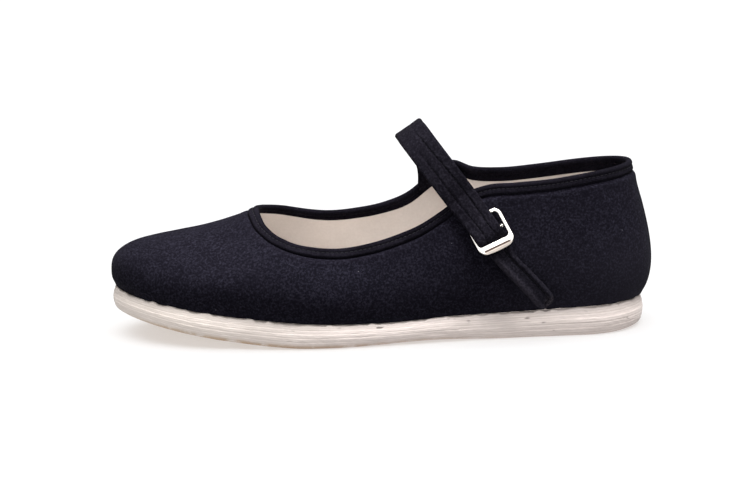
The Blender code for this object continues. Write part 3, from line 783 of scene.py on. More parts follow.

# %% [markdown]
# The sole is made of layers of white cloth, pasted together and cut to shape, so its side shows
# their edges as thin uneven lines. A ring of corners is drawn for each level of the side, seven to a
# layer, and the rings follow the waves of the layers. More rings close the top and the underside up
# to the sole's middle line. The top edge stands up in soft lumps, and glue has browned the foot of
# the side towards the toe. A smudge and painted shade grey the heel, and the waist is greyer too.

# %% White cloth of the sole
def sole_cloth():
    cloth = Finish("sole_cloth", Roughness=0.93, Specular_IOR_Level=0.2, Sheen_Weight=0.10)
    x, _, z = cloth.split(cloth.where)
    wander = cloth.noise(70.0, 3.0, 0.6)
    level = cloth.plus(cloth.cloth_map()[1], cloth.times(wander, 0.0005))
    layer = math.pi * SOLE_LAYERS / SOLE_THICKNESS
    between, ply = (
        cloth.size_of(cloth.math("SINE", cloth.times(level, layer * count))) for count in (1, 2)
    )
    streak = cloth.noise(900.0, 4.0, 0.65, stretch=(0.12, 0.12, 1.0))
    shade = cloth.plus(cloth.times(streak, 0.6), cloth.times(cloth.noise(55.0, 4.0, 0.6), 0.4))
    on_side = cloth.remap(level, SOLE_THICKNESS * 1.03, SOLE_THICKNESS)
    unbroken = cloth.remap(wander, 0.38, 0.64, 0.0, 0.75)
    nick = cloth.noise(420.0, 2.0, 0.5, stretch=(0.25, 0.25, 1.0))
    glue = cloth.times(
        cloth.remap(level, 0.0034, 0.0014),
        cloth.remap(x, 0.060, -0.070),
        cloth.remap(cloth.noise(160.0, 4.0, 0.7), 0.36, 0.54),
        cloth.remap(z, 0.014, 0.009),
    )
    # Painted shade and a smudge grey the heel, and the waist is greyer too.
    heel, waist = cloth.remap(x, 0.090, 0.124, 0.0, 0.16), cloth.remap(x, -0.070, 0.0, 0.0, 0.13)
    cloth.paint(
        cloth.mix(cloth.remap(shade, 0.34, 0.66), (0.520, 0.462, 0.436), (0.690, 0.618, 0.586)),
        (cloth.times(cloth.remap(between, 0.36, 0.04), unbroken, on_side), (0.375, 0.330, 0.301)),
        (cloth.times(cloth.remap(ply, 0.75, 0.10, 0.0, 0.45), on_side), (0.430, 0.365, 0.335)),
        (cloth.times(cloth.remap(nick, 0.71, 0.76), on_side), (0.16, 0.14, 0.13)),
        (glue, (0.30, 0.165, 0.065)),
        (cloth.plus(heel, waist), (0.34, 0.285, 0.255)),
        (cloth.remap(x, -0.010, -0.090, 0.0, 0.40), (0.540, 0.490, 0.425)),
    )
    cloth.bump(cloth.plus(streak, cloth.times(ply, 0.35)), 0.36, 0.00026)
    return cloth.made


SOLE_CLOTH = sole_cloth()

# %% The layered sole
def middle_line(angle):
    """A line along the middle that ends well inside the sole, where its caps are drawn to."""
    line = sole_outline(angle) * np.array([0.86, 0.0, 1.0])
    line[:, 1] = TOE_SWING * np.maximum(0, 1 - share_of(line[:, 0]) / 0.45) ** 2
    return line


def make_sole():
    angle = stations(720)
    edge = sole_outline(angle)
    out = outward(sole_outline, angle)
    girth = ring_length(edge)
    rings, levels = [], []
    spine = middle_line(angle)
    inward = np.array([0.12, 0.35, 0.6, 0.8, 0.9, 0.96])

    def at_height(points, height):
        placed = points.copy()
        low, high = floor_rise(share_of(placed[:, 0])), seat_height(share_of(placed[:, 0]))
        placed[:, 2] = low + np.clip(height, 0, 1) * (high - low)
        return placed

    spots = np.stack([girth / 0.0042, girth * 0.0, girth * 0.0], axis=1)
    lip = 0.0015 * np.clip(uneven(spots, 1.0, 26) + 0.16, 0, 0.6)
    lip = lip + 0.00016 * uneven(edge, 0.002, 27)
    lift = np.array([0.0, 0.0, 1.0]) * lip[:, None]
    top = edge - out * SIDE_BULGE
    rings.append(at_height(spine, 1.0))
    levels.append(SOLE_THICKNESS * 4)
    for share in inward:
        rings.append(at_height(spine + (top - spine) * share, 1.0) + lift * (share > 0.95) * 0.6)
        levels.append(SOLE_THICKNESS * (1 + 3 * (1 - share)))
    for share in np.linspace(1, 0, 7 * SOLE_LAYERS + 1):
        inset = SIDE_BULGE * (2 * share - 1) ** 2
        inset += BOTTOM_ROUND * np.maximum(0, 1 - share / 0.15) ** 2
        inset += 0.0005 * np.maximum(0, 1 - (1 - share) / 0.04) ** 2
        layer = share * SOLE_LAYERS
        rounded = 1 - np.sqrt(np.maximum(0, 1 - (2 * (layer - np.floor(layer)) - 1) ** 2))
        number = min(int(layer), SOLE_LAYERS - 1)
        spots = np.stack([girth * 0 + number * 0.37, edge[:, 0], edge[:, 1]], axis=1)
        proud = 0.00015 * uneven(spots, 0.035, 21) + 0.00010 * uneven(spots, 0.006, 22)
        wave = 0.020 * uneven(spots, 0.045, 23) + 0.012 * uneven(spots, 0.012, 24)
        fray = 0.00007 * uneven(edge + np.array([0, 0, share * 0.02]), 0.0016, 25)
        inset = inset + 0.00009 * rounded - proud - fray
        ring = at_height(edge - out * inset[:, None], share + wave * math.sin(math.pi * share))
        rings.append(ring + lift * float(ramp(share, 0.82, 0.97)))
        levels.append(SOLE_THICKNESS * share)
    bottom = edge - out * (SIDE_BULGE + BOTTOM_ROUND)
    for share in inward[::-1]:
        rings.append(at_height(spine + (bottom - spine) * share, 0.0))
        levels.append(-SOLE_THICKNESS * 3 * (1 - share))
    rings.append(at_height(spine, 0.0))
    levels.append(-SOLE_THICKNESS * 3)
    rings = np.array(rings)
    rings[:, -1] = rings[:, 0]
    finish = (SOLE_CLOTH, "white_sole_cloth", "sole")
    levels = np.array(levels)[:, None]
    return cloth_piece("sole_layers", rings, girth[None, :], levels, *finish, reach=2e-6)


make_sole()

# %% [markdown]
# The insole is one sheet of the same cotton as the lining, cut to the floor of the shoe.

# %% The insole
def make_insole():
    angle = stations(360)
    inset = FEATHER_INSET + UPPER_WALL / math.sin(math.radians(49)) + 0.0006
    rim = sole_outline(angle) - outward(sole_outline, angle) * inset
    spine = middle_line(angle)
    rows = []
    for share, height in (
        [(s, 0.0) for s in (0.0, 0.35, 0.7, 0.9, 0.985)]
        + [(1.0, 0.15), (1.0, 0.5), (1.0, 0.8)]
        + [(s, 1.0) for s in (0.99, 0.95, 0.88, 0.75, 0.6, 0.45, 0.3, 0.15, 0.0)]
    ):
        ring = spine + (rim - spine) * share
        ring[:, 2] = seat_height(share_of(ring[:, 0])) + GAP + height * INSOLE_THICKNESS
        if height == 1.0:
            ring[:, 2] -= 0.0004 * (1 + uneven(ring, 0.03, 31)) / 2 * (1 - share) ** 0.5
        rows.append(ring)
    rows = np.array(rows)
    rows[:, -1] = rows[:, 0]
    across = np.linspace(0, 0.08, len(rows))[:, None]
    cotton = (LINING_COTTON, "insole_cloth", "insole")
    girth = ring_length(rim)[None, :]
    return cloth_piece("insole_sheet", rows, girth, across, *cotton, reach=2e-6)


make_insole()

# %% [markdown]
# The strap is a folded band of the same black cotton. It is sewn inside the inner side, where its
# foot spreads towards the toe, stands up in an arch over the instep, and narrows before it passes
# through the buckle. Its path lies in a plane that leans towards the toe. The buckle's sizes come
# first, because the strap has to climb over two of its bars and dive under the third.

# %% Sizes of the strap and the buckle
STRAP_WIDTH = 0.0145
STRAP_THICKNESS = 0.0015
STRAP_LEAN = math.radians(36.5)
STRAP_SHARE = 0.637
STRAP_RISE = 0.0340
STRAP_STANDOFF = 0.0024
STRAP_EASE = 0.0007
STRAP_BASE = 0.0130
STRAP_TAIL = 0.0635
TONGUE_STANDOFF = 0.0036
STRAP_CORNER = 0.0009
STRAP_FOOT = 0.0046
STRAP_FOOT_RISE = 0.0085
BINDING_PROUD = 0.0004
BUCKLE_BELOW_CROSSING = 0.0206
BUCKLE_OPENING_WIDTH = 0.0148
BUCKLE_OPENING_HEIGHT = 0.0132
BUCKLE_BAR = 0.0013
BUCKLE_FRONT_BAR = 0.0033
BUCKLE_DEPTH = 0.0014
BUCKLE_CORNER = 0.0032
BUCKLE_BOW = 0.0009
GROOVE_CUTS = (-0.0003, -0.0002, 0.0, 0.0002, 0.0003, 0.0006)
CENTRE_BAR_RADIUS = 0.00065
BUCKLE_TILT = math.radians(18.0)
BUCKLE_TURN = math.radians(12.5)
BUCKLE_LIFT = 0.0037
TAB_WIDTH = 0.0088
TAB_THICKNESS = 0.0006
TAB_LENGTH = 0.0230
STRAP_PLAN = table(
    "along shift width",
    (0.00, 0.000, 1.000),
    (0.18, 0.000, 0.940),
    (0.30, -0.005, 0.905),
    (0.36, -0.010, 0.900),
    (0.42, -0.020, 0.770),
    (0.49, -0.055, 0.660),
    (0.70, 0.040, 0.650),
    (0.90, 0.140, 0.640),
    (1.00, 0.160, 0.620),
)
print("Rows in the strap's plan:", len(STRAP_PLAN))

# %% The strap's plane, and places beside the wall in it
WALK = np.linspace(0, np.pi, 400)[12:-12]
SIDE_CURVES = {True: wall_curves(WALK)[0], False: wall_curves(2 * np.pi - WALK)[0]}


def wall_reach(x, z, outer):
    """How far from the middle plane the upper's outside lies at lengths x and heights z."""
    x, z = np.broadcast_arrays(np.asarray(x, float), np.asarray(z, float))
    curves = SIDE_CURVES[outer]
    at_x = np.stack([np.interp(z.ravel(), c[:, 2], c[:, 0]) for c in curves])
    at_y = np.stack([np.interp(z.ravel(), c[:, 2], np.abs(c[:, 1])) for c in curves])
    order = np.argsort(at_x, axis=0)
    at_x, at_y = np.take_along_axis(at_x, order, 0), np.take_along_axis(at_y, order, 0)
    found = [np.interp(v, at_x[:, i], at_y[:, i]) for i, v in enumerate(x.ravel())]
    return np.array(found).reshape(x.shape)


def strap_plane(rise, across):
    x = length_at(STRAP_SHARE) - rise * math.sin(STRAP_LEAN) + across * math.cos(STRAP_LEAN)
    crossing = read(TOPLINE, "lateral_height", STRAP_SHARE) * COLLAR_HEIGHT
    return x, crossing + rise * math.cos(STRAP_LEAN) + across * math.sin(STRAP_LEAN)


def beside_wall(down, across, lift):
    """Points of the strap's plane below the crossing, lifted off the outer quarter."""
    x, z = strap_plane(-down, across)
    return np.stack(np.broadcast_arrays(x, -wall_reach(x, z, True) - lift, z), axis=-1)


def strap_shift(down):
    return read(STRAP_PLAN, "shift", down / STRAP_TAIL) * STRAP_WIDTH


# %% Where the buckle lies, and how the strap runs over and under it
def buckle_frame():
    """The middle of the centre bar, and the directions down the strap, across it and outwards."""
    reach = BUCKLE_OPENING_HEIGHT / 2
    down, shift = BUCKLE_BELOW_CROSSING, strap_shift(BUCKLE_BELOW_CROSSING)
    along = unit(beside_wall(down + reach, shift, 0) - beside_wall(down - reach, shift, 0))
    side = unit(beside_wall(down, shift + reach, 0) - beside_wall(down, shift - reach, 0))
    out = unit(np.cross(along, side))
    side = np.cross(out, along)
    turned = along * math.cos(BUCKLE_TURN) - side * math.sin(BUCKLE_TURN)
    side = side * math.cos(BUCKLE_TURN) + along * math.sin(BUCKLE_TURN)
    middle = beside_wall(down, shift, 0) + out * BUCKLE_LIFT + side * 0.0006 - along * 0.0008
    return middle, turned, side, out


def strap_lift(down):
    """Height of the strap's inner face off the quarter, over and under the buckle's bars."""
    over_bar = BUCKLE_LIFT + CENTRE_BAR_RADIUS + TAB_THICKNESS + 2 * GAP
    height = BUCKLE_OPENING_HEIGHT + BUCKLE_BAR + BUCKLE_FRONT_BAR
    top, front = height / 2 - BUCKLE_BAR / 2, height / 2 - BUCKLE_FRONT_BAR / 2
    over_top = BUCKLE_LIFT - top * math.sin(BUCKLE_TILT) + BUCKLE_DEPTH / 2 + GAP
    under_front = BUCKLE_LIFT + front * math.sin(BUCKLE_TILT) - BUCKLE_DEPTH / 2
    under_front -= STRAP_THICKNESS + 2 * GAP
    middle = BUCKLE_BELOW_CROSSING
    dip = middle + front - BUCKLE_FRONT_BAR / 2 - 0.7 * STRAP_THICKNESS
    rows = table(
        "along lift",
        (0.0, STRAP_STANDOFF),
        (middle - top, max(over_top, STRAP_STANDOFF) + STRAP_EASE),
        (middle - top / 2, (over_top + over_bar) / 2 + STRAP_EASE),
        (middle, over_bar + GAP),
        (dip, under_front),
        (middle + front, under_front),
        (middle + height, TONGUE_STANDOFF),
        (STRAP_TAIL, TONGUE_STANDOFF),
    )
    return read(rows, "lift", down)


# %% The path of the strap
def strap_path():
    """Rows of three points across the strap's inner face, and how far below the outer crossing
    each row lies (negative over the arch)."""
    half = STRAP_WIDTH / 2
    clear = UPPER_WALL + BINDING_PROUD + STRAP_THICKNESS + 2 * GAP
    sides = np.array([-1.0, 0.0, 1.0])
    rises = np.arange(0, STRAP_RISE, 0.0005)
    x, z = strap_plane(rises, 0)
    inner_top = COLLAR_HEIGHT * read(TOPLINE, "medial_height", share_of(x))
    summit = rises[np.argmax(z >= inner_top)]
    rows = []
    for rise in summit - STRAP_BASE * np.linspace(1, 0, 19)[:-1]:
        foot = (STRAP_FOOT + 0.4 * (summit - rise)) * ramp(rise, summit - 0.0060, summit - 0.0045)
        x, z = strap_plane(rise, sides * half - np.array([foot, 0, 0]))
        rows.append(np.stack([x, wall_reach(x, z, False) - clear, z], axis=-1))
    x, z = strap_plane(summit, sides * half)
    inner = wall_reach(x, z, False) - clear
    outer = beside_wall(0.0, sides * half, STRAP_STANDOFF)[:, 1]
    for turn in np.linspace(0, math.pi, 101):
        inner_half = turn < math.pi / 2
        drop = (STRAP_RISE - summit * inner_half) * (1 - math.sin(turn))
        rise = STRAP_RISE - drop
        corner = STRAP_CORNER * math.exp(-2 * drop / STRAP_CORNER)
        foot = STRAP_FOOT * max(0.0, 1 - (rise - summit) / STRAP_FOOT_RISE) ** 1.5 * inner_half
        near_top = math.exp(-((drop / 0.007) ** 2))
        reach = sides * (half - corner) + np.array([-foot, 0.0001 * near_top, 0.0002 * near_top])
        x, z = strap_plane(rise - 0.0003 * near_top * sides, reach)
        y = (inner + outer) / 2 + (inner - outer) / 2 * math.cos(turn)
        rows.append(np.stack([x, y, z], axis=-1))
    arch = len(rows)
    down = STRAP_TAIL * np.sin(math.pi / 2 * np.linspace(0, 1, 151)[1:]) ** 0.95
    end = np.minimum((STRAP_TAIL - down) / (0.3 * STRAP_WIDTH), 1.0)
    width = half * read(STRAP_PLAN, "width", down / STRAP_TAIL)
    width = width * (0.25 + 0.75 * np.sqrt(1 - (1 - end) ** 2))
    across = strap_shift(down)[:, None] + width[:, None] * sides
    tail = beside_wall(down[:, None], across, strap_lift(down)[:, None])
    below = np.concatenate([np.full(arch, -1.0), down])
    return np.concatenate([np.array(rows), tail]), below


STRAP_ROWS, STRAP_BELOW = strap_path()
print("Rows along the strap:", len(STRAP_ROWS))

# %% A helper for bands
def even_out(values, times):
    """Averages each row with its neighbours, ends kept."""
    for _ in range(times):
        values[1:-1] = (values[:-2] + 2 * values[1:-1] + values[2:]) / 4
    return values


def lay_band(name, rows, face, back, thickness, columns, *finish):
    """A closed band over rows of three points. face and back give the height of its two faces
    over the rows, from row distance and distance across; its edges and ends are round."""
    left, middle, right = rows[:, 0], rows[:, 1], rows[:, 2]
    walk = ring_length(middle)[:, None]
    half = np.linalg.norm(right - left, axis=1)[:, None] / 2
    out = even_out(unit(np.cross(np.gradient(middle, axis=0), right - left)), 3)
    t = np.sin(np.linspace(-math.pi / 2, math.pi / 2, columns))[None, :, None]
    on = middle[:, None] * (1 - t * t)
    on = on + right[:, None] * (t * t + t) / 2 + left[:, None] * (t * t - t) / 2
    across = half * t[..., 0]
    half_way = thickness / 2

    def rounded(distance):
        return np.sqrt(1 - (1 - np.clip(distance / (0.55 * thickness), 0, 1)) ** 2)

    round_edge = rounded(half - np.abs(across)) * rounded(np.minimum(walk, walk[-1] - walk))
    surfaces = []
    for surface in (face, back):
        height = half_way + (surface(walk, across, half) - half_way) * round_edge
        surfaces.append(on + out[:, None] * height[..., None])
    upper_face, lower_face = surfaces
    section = np.concatenate([upper_face, lower_face[:, -2::-1]], axis=1)
    width = np.concatenate([across, (2 * half - across)[:, -2::-1]], axis=1)
    return cloth_piece(name, section, walk, width, *finish, reach=1e-6)


def level_face(height):
    return lambda walk, across, half: height + 0.0 * walk + 0.0 * across


# %% [markdown]
# On the strap two rows of stitches hold the folded margins down, and the middle panel swells a
# little between them. They fade near the top of the arch. On the tongue, which is narrower, the rows
# run close to its edges, and the cloth rolls up along one of them, where a painted highlight
# lightens it. Its tip has a painted highlight too.

# %% The faces of the strap
strap_walk = ring_length(STRAP_ROWS[:, 1])
arch_length = strap_walk[np.argmax(STRAP_BELOW > 0)]
apex_length = strap_walk[np.argmax(STRAP_ROWS[:, 1, 2])]
STRAP_COTTON = black_cotton(
    "strap_cotton_fine",
    (0.0032, 0.0028, 0.0046),
    (0.0215, 0.0196, 0.0272),
    # A painted highlight at the tongue's tip.
    highlit_tip=STRAP_ROWS[-4, 2] + SHIFT,
    # A painted highlight along the tongue's ridge.
    highlit_ridge=(arch_length + 0.47 * STRAP_TAIL, -0.0030),
)


def furrow_inset(walk, across):
    """How far from each edge the stitched furrow runs, at a distance along the strap."""
    below = (walk - arch_length) / STRAP_TAIL
    upper = np.where(across > 0, 0.0058 - 0.0014 * ramp(below, -0.60, -0.05), 0.0046)
    return upper + (0.0025 - upper) * ramp(below, 0.30, 0.43)


def strap_face(walk, across, half):
    inset = furrow_inset(walk, across)
    below = (walk - arch_length) / STRAP_TAIL
    tongue = ramp(below, 0.42, 0.52)
    half_width = np.where(below < 0, STRAP_WIDTH / 2, half)
    from_edge = np.minimum(half_width - np.abs(across), strap_walk[-1] - walk)
    crown = ramp(np.abs(walk - apex_length), 0.004, 0.014)
    left_shown = ramp(np.abs(walk - apex_length), 0.019, 0.029)
    shown = np.where(across < 0, left_shown, 0.15 + 0.85 * crown)
    shown = shown * (1 - ramp(below, 0.36, 0.46) * (across < -0.15 * half))
    furrow = bump_at(from_edge, inset, 0.00032) * shown
    shoulder = bump_at(from_edge, inset - 0.0009, 0.00055) * shown
    swell = 0.00015 * ramp(from_edge, inset, inset + 0.002) * crown
    pucker = np.cos(2 * np.pi * walk / 0.0046 + 1.3 * np.sign(across)) + 0.6 * np.cos(walk / 0.0013)
    pucker = 0.00009 * pucker * ramp(from_edge, inset, inset * 0.4)
    thin = -0.00020 * ramp(from_edge, 0.0014, 0.0)
    roll = 0.00110 * tongue * bump_at(across / half, -0.62, 0.42)
    lip = 0.00030 * tongue * bump_at(from_edge, inset * 0.5, 0.0008) * (across > 0)
    raised = 0.00012 * shoulder + swell + pucker + thin + roll + lip
    return STRAP_THICKNESS - (0.00060 + 0.00025 * tongue) * furrow + raised


# %% The strap
def make_strap():
    faces = (strap_face, level_face(0.0), STRAP_THICKNESS)
    return lay_band(
        "strap_band", STRAP_ROWS, *faces, 57, STRAP_COTTON, "strap_cotton", "strap"
    )


make_strap()

# %% [markdown]
# The buckle is a small pressed steel slide, polished. A flat plate gets round corners, an opening,
# a deeper front bar whose lip is rolled and bowed behind a groove, and soft edges. A round bar
# across it carries the tab and ends in a small ball. Tarnish has darkened the groove.

# %% Polished steel
def polished_steel(middle, side, along, crease):
    """Worn bright steel, with tarnish in the groove that crosses the front bar."""
    steel = Finish("polished_steel", Metallic=1.0, Roughness=0.16, Specular_IOR_Level=0.5)
    wear = steel.noise(420.0, 4.0, 0.65)
    from_middle = steel.vector("SUBTRACT", steel.where, middle)
    sideways, down = (steel.vector("DOT_PRODUCT", from_middle, axis) for axis in (side, along))
    tarnish = steel.times(
        steel.remap(steel.size_of(steel.math("SUBTRACT", down, crease)), 0.00064, 0.00046),
        steel.remap(steel.size_of(sideways), 0.0070, 0.0062),
    )
    lip = steel.remap(down, crease + 0.0003, crease + 0.0006)
    steel.paint(
        steel.mix(steel.remap(wear, 0.35, 0.7), (0.86, 0.83, 0.79), (0.70, 0.66, 0.60)),
        (tarnish, (0.055, 0.030, 0.022)),
        (steel.times(lip, 0.6), (0.84, 0.72, 0.62)),
    )
    rough = steel.remap(wear, 0.3, 0.75, 0.10, 0.28)
    rough = steel.plus(rough, steel.times(lip, 0.20), steel.times(tarnish, 0.60))
    steel.wire("Metallic", steel.math("SUBTRACT", 1.0, tarnish))
    steel.wire("Roughness", rough)
    steel.bump(steel.noise(500.0, 2.0, 0.5, stretch=(1.0, 0.2, 3.0)), 0.05, 0.00006)
    return steel.made


# %% The buckle
SOFT_EDGE = {"profile": 0.5, "material": -1, "clamp_overlap": True}
BUCKLE_LIP = 0.0009


def frame_at(middle, *axes):
    """Puts a mesh's x, y and z along these axes, with its origin at middle."""
    place = Matrix.Identity(4)
    for column, axis in enumerate((*axes, middle + SHIFT)):
        place.col[column][:3] = axis
    return place


def make_buckle():
    origin, along, side, out = buckle_frame()
    along = along * math.cos(BUCKLE_TILT) + out * math.sin(BUCKLE_TILT)
    width = BUCKLE_OPENING_WIDTH + 2 * BUCKLE_BAR
    height = BUCKLE_OPENING_HEIGHT + BUCKLE_BAR + BUCKLE_FRONT_BAR
    mesh = bmesh.new()
    bmesh.ops.create_grid(mesh, x_segments=1, y_segments=1, size=0.5)
    bmesh.ops.scale(mesh, vec=(width, height, 1.0), verts=mesh.verts[:])
    bmesh.ops.bevel(
        mesh, geom=mesh.verts[:], offset=BUCKLE_CORNER, affect="VERTICES", segments=8, **SOFT_EDGE
    )
    mesh.faces.ensure_lookup_table()
    plate = mesh.faces[0]
    bmesh.ops.inset_region(
        mesh, faces=[plate], thickness=BUCKLE_BAR, use_boundary=True, use_even_offset=True
    )
    for vert in plate.verts:
        if vert.co.y > 0:
            vert.co.y -= BUCKLE_FRONT_BAR - BUCKLE_BAR
    bmesh.ops.delete(mesh, geom=[plate], context="FACES")
    crease = height / 2 - BUCKLE_LIP
    cuts = [((0, crease + step, 0), (0, 1, 0)) for step in GROOVE_CUTS]
    cuts += [((step * width / 16, 0, 0), (1, 0, 0)) for step in range(-5, 6)]
    for place, facing in cuts:
        everything = mesh.verts[:] + mesh.edges[:] + mesh.faces[:]
        bmesh.ops.bisect_plane(mesh, geom=everything, plane_co=place, plane_no=facing)
    bmesh.ops.solidify(mesh, geom=mesh.faces[:], thickness=BUCKLE_DEPTH)
    low = min(vert.co.z for vert in mesh.verts)
    bmesh.ops.translate(mesh, vec=(0, 0, -low - BUCKLE_DEPTH / 2), verts=mesh.verts[:])
    sharp = [
        edge
        for edge in mesh.edges
        if len(edge.link_faces) == 2 and edge.calc_face_angle() > math.radians(60)
    ]
    offset = BUCKLE_DEPTH * 0.3
    bmesh.ops.bevel(mesh, geom=sharp, offset=offset, affect="EDGES", segments=3, **SOFT_EDGE)
    for vert in mesh.verts:
        beyond = max(0.0, (vert.co.y - crease) / BUCKLE_LIP)
        middle = max(0.0, 1 - (vert.co.x / (width / 2)) ** 2)
        vert.co.y += BUCKLE_BOW * middle * beyond
        if vert.co.z < 0 and abs(vert.co.x) < width / 2 - 0.0016:
            groove = 0.00045 if abs(vert.co.y - crease) < 0.00012 else 0.0
            vert.co.z += groove + 0.00050 * beyond**1.5
    bmesh.ops.create_icosphere(
        mesh,
        subdivisions=2,
        radius=CENTRE_BAR_RADIUS * 1.35,
        matrix=Matrix.Translation((BUCKLE_OPENING_WIDTH / 2 - 0.0012, 0, 0)),
    )
    bmesh.ops.create_cone(
        mesh,
        cap_ends=True,
        segments=24,
        radius1=CENTRE_BAR_RADIUS,
        radius2=CENTRE_BAR_RADIUS,
        depth=BUCKLE_OPENING_WIDTH + BUCKLE_BAR,
        matrix=Matrix.Rotation(math.pi / 2, 4, "Y"),
    )
    place = frame_at(origin, side, along, np.cross(side, along))
    bmesh.ops.transform(mesh, matrix=place, verts=mesh.verts[:])
    bmesh.ops.recalc_face_normals(mesh, faces=mesh.faces[:])
    finish = polished_steel(origin + SHIFT, side, along, crease)
    data = mesh_data("slide_buckle", mesh)
    return show("slide_buckle", data, finish, "buckle_steel", "buckle")


buckle = make_buckle()

# %% [markdown]
# A narrow loop of tape holds the buckle: it goes round the centre bar and both ends are sewn down
# on the quarter. The strap hides most of it.

# %% The buckle's tab
def make_tab():
    origin, along, side, _ = buckle_frame()
    out = np.cross(along, side)
    radius = CENTRE_BAR_RADIUS + GAP
    outer = radius + TAB_THICKNESS
    mouth = math.asin(TAB_THICKNESS / outer)
    flat = GAP + TAB_THICKNESS
    settle = 6 * flat
    sides = np.array([-1.0, 0.0, 1.0])[:, None] * TAB_WIDTH / 2
    down = BUCKLE_BELOW_CROSSING
    shift = strap_shift(down)

    def leg(face):
        rows = []
        for share in np.linspace(0, 1, 25)[1:]:
            below = outer + (TAB_LENGTH - outer) * share**1.2
            blend = min(below / (settle + outer), 1.0)
            blend = blend * blend * (3 - 2 * blend)
            seated = beside_wall(down + below, shift + sides[:, 0], flat + face * TAB_THICKNESS)
            hung = origin + side * sides + along * below + out * (face * TAB_THICKNESS)
            rows.append(hung + (seated - hung) * blend)
        return rows

    loop = [
        origin + side * sides + (along * math.cos(turn) + out * math.sin(turn)) * outer
        for turn in np.linspace(mouth, 2 * math.pi - mouth, 40)
    ]
    rows = np.array(leg(1)[::-1] + loop + leg(-1))
    faces = (level_face(0.00001), level_face(TAB_THICKNESS * 0.92), TAB_THICKNESS)
    return lay_band("tab_loop", rows, *faces, 17, BINDING_TAPE, "tab_cotton", "buckle_tab")


make_tab()

# %% [markdown]
# Stitches are short plump threads that dip into the cloth at both ends. One low ball is stretched
# for each, so hundreds of them stay light.

# %% Sewing thread
def black_thread(light):
    thread = Finish("black_thread", Roughness=0.7, Specular_IOR_Level=0.1)
    ply = thread.noise(2500.0, 2.0, 0.6)
    thread.paint(thread.mix(ply, tuple(part * 0.55 for part in light), light))
    thread.bump(ply, 0.4, 0.0001)
    return thread.made


BLACK_THREAD = black_thread((0.0095, 0.0088, 0.0120))

# %% A row of stitches
def make_stitches(name, middles, runs, outs, length, width, slot):
    """One thread at each middle, along its run, pressed to the cloth that faces out."""
    mesh = bmesh.new()
    upright = Matrix.Rotation(math.pi / 2, 4, "Y")
    for middle, run, out in zip(middles, unit(runs), unit(outs)):
        axes = (run * length / 2, np.cross(out, run) * width / 2, out * width * 0.4)
        place = frame_at(middle, *axes) @ upright
        bmesh.ops.create_uvsphere(mesh, u_segments=6, v_segments=5, radius=1.0, matrix=place)
    return show(name, mesh_data(name, mesh), BLACK_THREAD, slot)


# %% Stitches along the tape
def at_columns(at, walk, values):
    """Values at some distances along a walk, column by column."""
    return np.stack([np.interp(at, walk, values[:, k]) for k in range(3)], axis=1)


def sew_tape():
    placed, out = wall_frame(stations(3000), np.array([0.0, STITCH_DEPTH * TAPE_OUTSIDE]))
    girth = ring_length(placed[:, 0])
    count = round(girth[-1] / STITCH_PITCH)
    at = (np.arange(count) + 0.5) / count * girth[-1]
    line = placed[:, 1]
    middles, outs, runs = (
        at_columns(at, girth, values) for values in (line, out[:, 1], np.gradient(line, axis=0))
    )
    middles = middles + unit(outs) * 0.00004
    return make_stitches("tape_stitches", middles, runs, outs, 0.0016, 0.00042, "black_binding")


sew_tape()

# %% Stitches along the strap
def sew_strap():
    left, middle, right = (STRAP_ROWS[:, i] for i in range(3))
    walk = ring_length(middle)
    half = np.linalg.norm(right - left, axis=1) / 2
    outs = unit(np.cross(np.gradient(middle, axis=0), right - left))
    middles, runs, faces = [], [], []
    for side, edge_rows in ((-1, left), (1, right)):
        end = walk[-1] - 0.002 if side > 0 else arch_length + 0.34 * STRAP_TAIL
        at = np.arange(0.004, end, STITCH_PITCH)
        at = at[np.abs(at - apex_length) > (0.006 if side > 0 else 0.024)]
        share = 1 - furrow_inset(walk, side) / half
        line = middle + (edge_rows - middle) * share[:, None]
        line = line + outs * (STRAP_THICKNESS - 0.00050)
        for found, values in ((middles, line), (runs, np.gradient(line, axis=0)), (faces, outs)):
            found.append(at_columns(at, walk, values))
    threads_at = (np.concatenate(found) for found in (middles, runs, faces))
    return make_stitches("strap_stitches", *threads_at, 0.0015, 0.00036, "strap_cotton")


sew_strap()

# %% [markdown]
# The camera stands about a metre away, a little to the heel side, and looks slightly down, as in the
# photograph. The picture is 750 by 480, so the lens is set for its width.

# %% Camera
YAW, ELEVATION, ROLL = math.radians(5.0), math.radians(10.743), math.radians(0.502)
DISTANCE = 1.05
look = Vector(
    (
        math.sin(YAW) * math.cos(ELEVATION),
        math.cos(YAW) * math.cos(ELEVATION),
        -math.sin(ELEVATION),
    )
)
right = Vector((math.cos(YAW), -math.sin(YAW), 0.0))
upward = right.cross(look)
aim = Vector((0.0, 0.0, 0.035)) - right * 0.00214 + upward * 0.00652 + Vector(SHIFT)
lens = bpy.data.cameras.new("photo_camera")
lens.lens = 108.66
lens.sensor_width = 36.0
lens.clip_start, lens.clip_end = 0.05, 20.0
camera = put_in_scene("photo_camera", lens)
axes = Matrix((right, upward, -look)).transposed().to_4x4()
camera.matrix_world = (
    Matrix.Translation(aim - look * DISTANCE) @ axes @ Matrix.Rotation(-ROLL, 4, "Z")
)
bpy.context.scene.camera = camera
print("Camera at", tuple(round(v, 4) for v in camera.location))

# %% [markdown]
# The shoe stands on a pale sheet that glows a little, as for a catalogue: the background is blown
# out and the shadow is faint and warm. A wide sky makes the shadow, and a sun that falls on the shoe
# alone lifts the cloth. The buckle gets a card of its own, because bright metal shows what it faces.

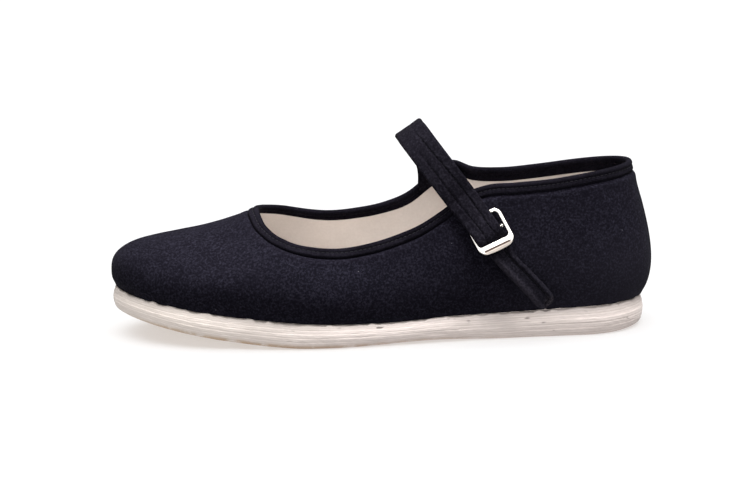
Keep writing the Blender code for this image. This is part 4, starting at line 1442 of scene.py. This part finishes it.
# %% Floor
def paper_floor():
    paper = Finish(
        "paper",
        Roughness=0.9,
        Specular_IOR_Level=0.1,
        Emission_Color=(0.485, 0.462, 0.445, 1.0),
        Emission_Strength=1.0,
    )
    paper.paint(paper.mix(paper.noise(3.0, 2.0, 0.5), (0.53, 0.55, 0.57), (0.56, 0.58, 0.60)))
    mesh = bmesh.new()
    bmesh.ops.create_grid(mesh, x_segments=1, y_segments=1, size=6.0)
    data = mesh_data("paper_floor", mesh)
    data.materials.append(paper.made)
    put_in_scene("paper_floor", data)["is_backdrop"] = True


paper_floor()

# %% Lights
def hang_light(name, kind, energy, place, turn, **settings):
    lamp = bpy.data.lights.new(name, kind)
    lamp.energy = energy
    for key, value in settings.items():
        setattr(lamp, key, value)
    thing = put_in_scene(name, lamp)
    thing.location, thing.rotation_euler = place, turn
    print("Light", name, "of strength", energy)
    return thing


def soft_lamp(name, place, target, size, power):
    turn = (Vector(target) - Vector(place)).to_track_quat("-Z", "Y").to_euler()
    settings = {"shape": "RECTANGLE", "size": size[0], "size_y": size[1]}
    return hang_light(name, "AREA", power, place, turn, **settings)


def soft_sun(name, energy, width, tilt_y, tilt_x):
    turn = (math.radians(tilt_x), math.radians(tilt_y), 0.0)
    return hang_light(name, "SUN", energy, (0.0, 0.0, 0.0), turn, angle=math.radians(width))


def light_only(light, pieces):
    """Lets a light fall on these pieces and on nothing else."""
    lit = bpy.data.collections.new(light.name + "_falls_on")
    for piece in pieces:
        lit.objects.link(piece)
    light.light_linking.receiver_collection = lit


soft_lamp("key", (0.1, -1.5, 1.7), (0.0, 0.0, 0.03), (2.0, 1.0), 7.0)
soft_lamp("front", (-0.9, -2.3, 0.8), (0.0, 0.0, 0.03), (2.4, 1.2), 11.0)
soft_sun("sky", 2.8, 90.0, 0.0, -2.0)
light_only(soft_sun("shoe_sun", 10.5, 30.0, 7.0, 5.0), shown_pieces())
card = soft_lamp("buckle_card", (0.5, -2.2, 0.10), (0.05, -0.04, 0.045), (3.0, 0.9), 3.0)
light_only(card, [buckle])

# %% World and picture
world = bpy.data.worlds.new("studio")
world.use_nodes = True
background = world.node_tree.nodes["Background"].inputs
background["Color"].default_value = (1.0, 1.0, 1.0, 1.0)
background["Strength"].default_value = 0.22
bpy.context.scene.world = world
picture = bpy.context.scene.view_settings
picture.view_transform = "Standard"
picture.look = "None"
picture.exposure = 0.0
picture.gamma = 1.0
print("Picture in", picture.view_transform, "colours")
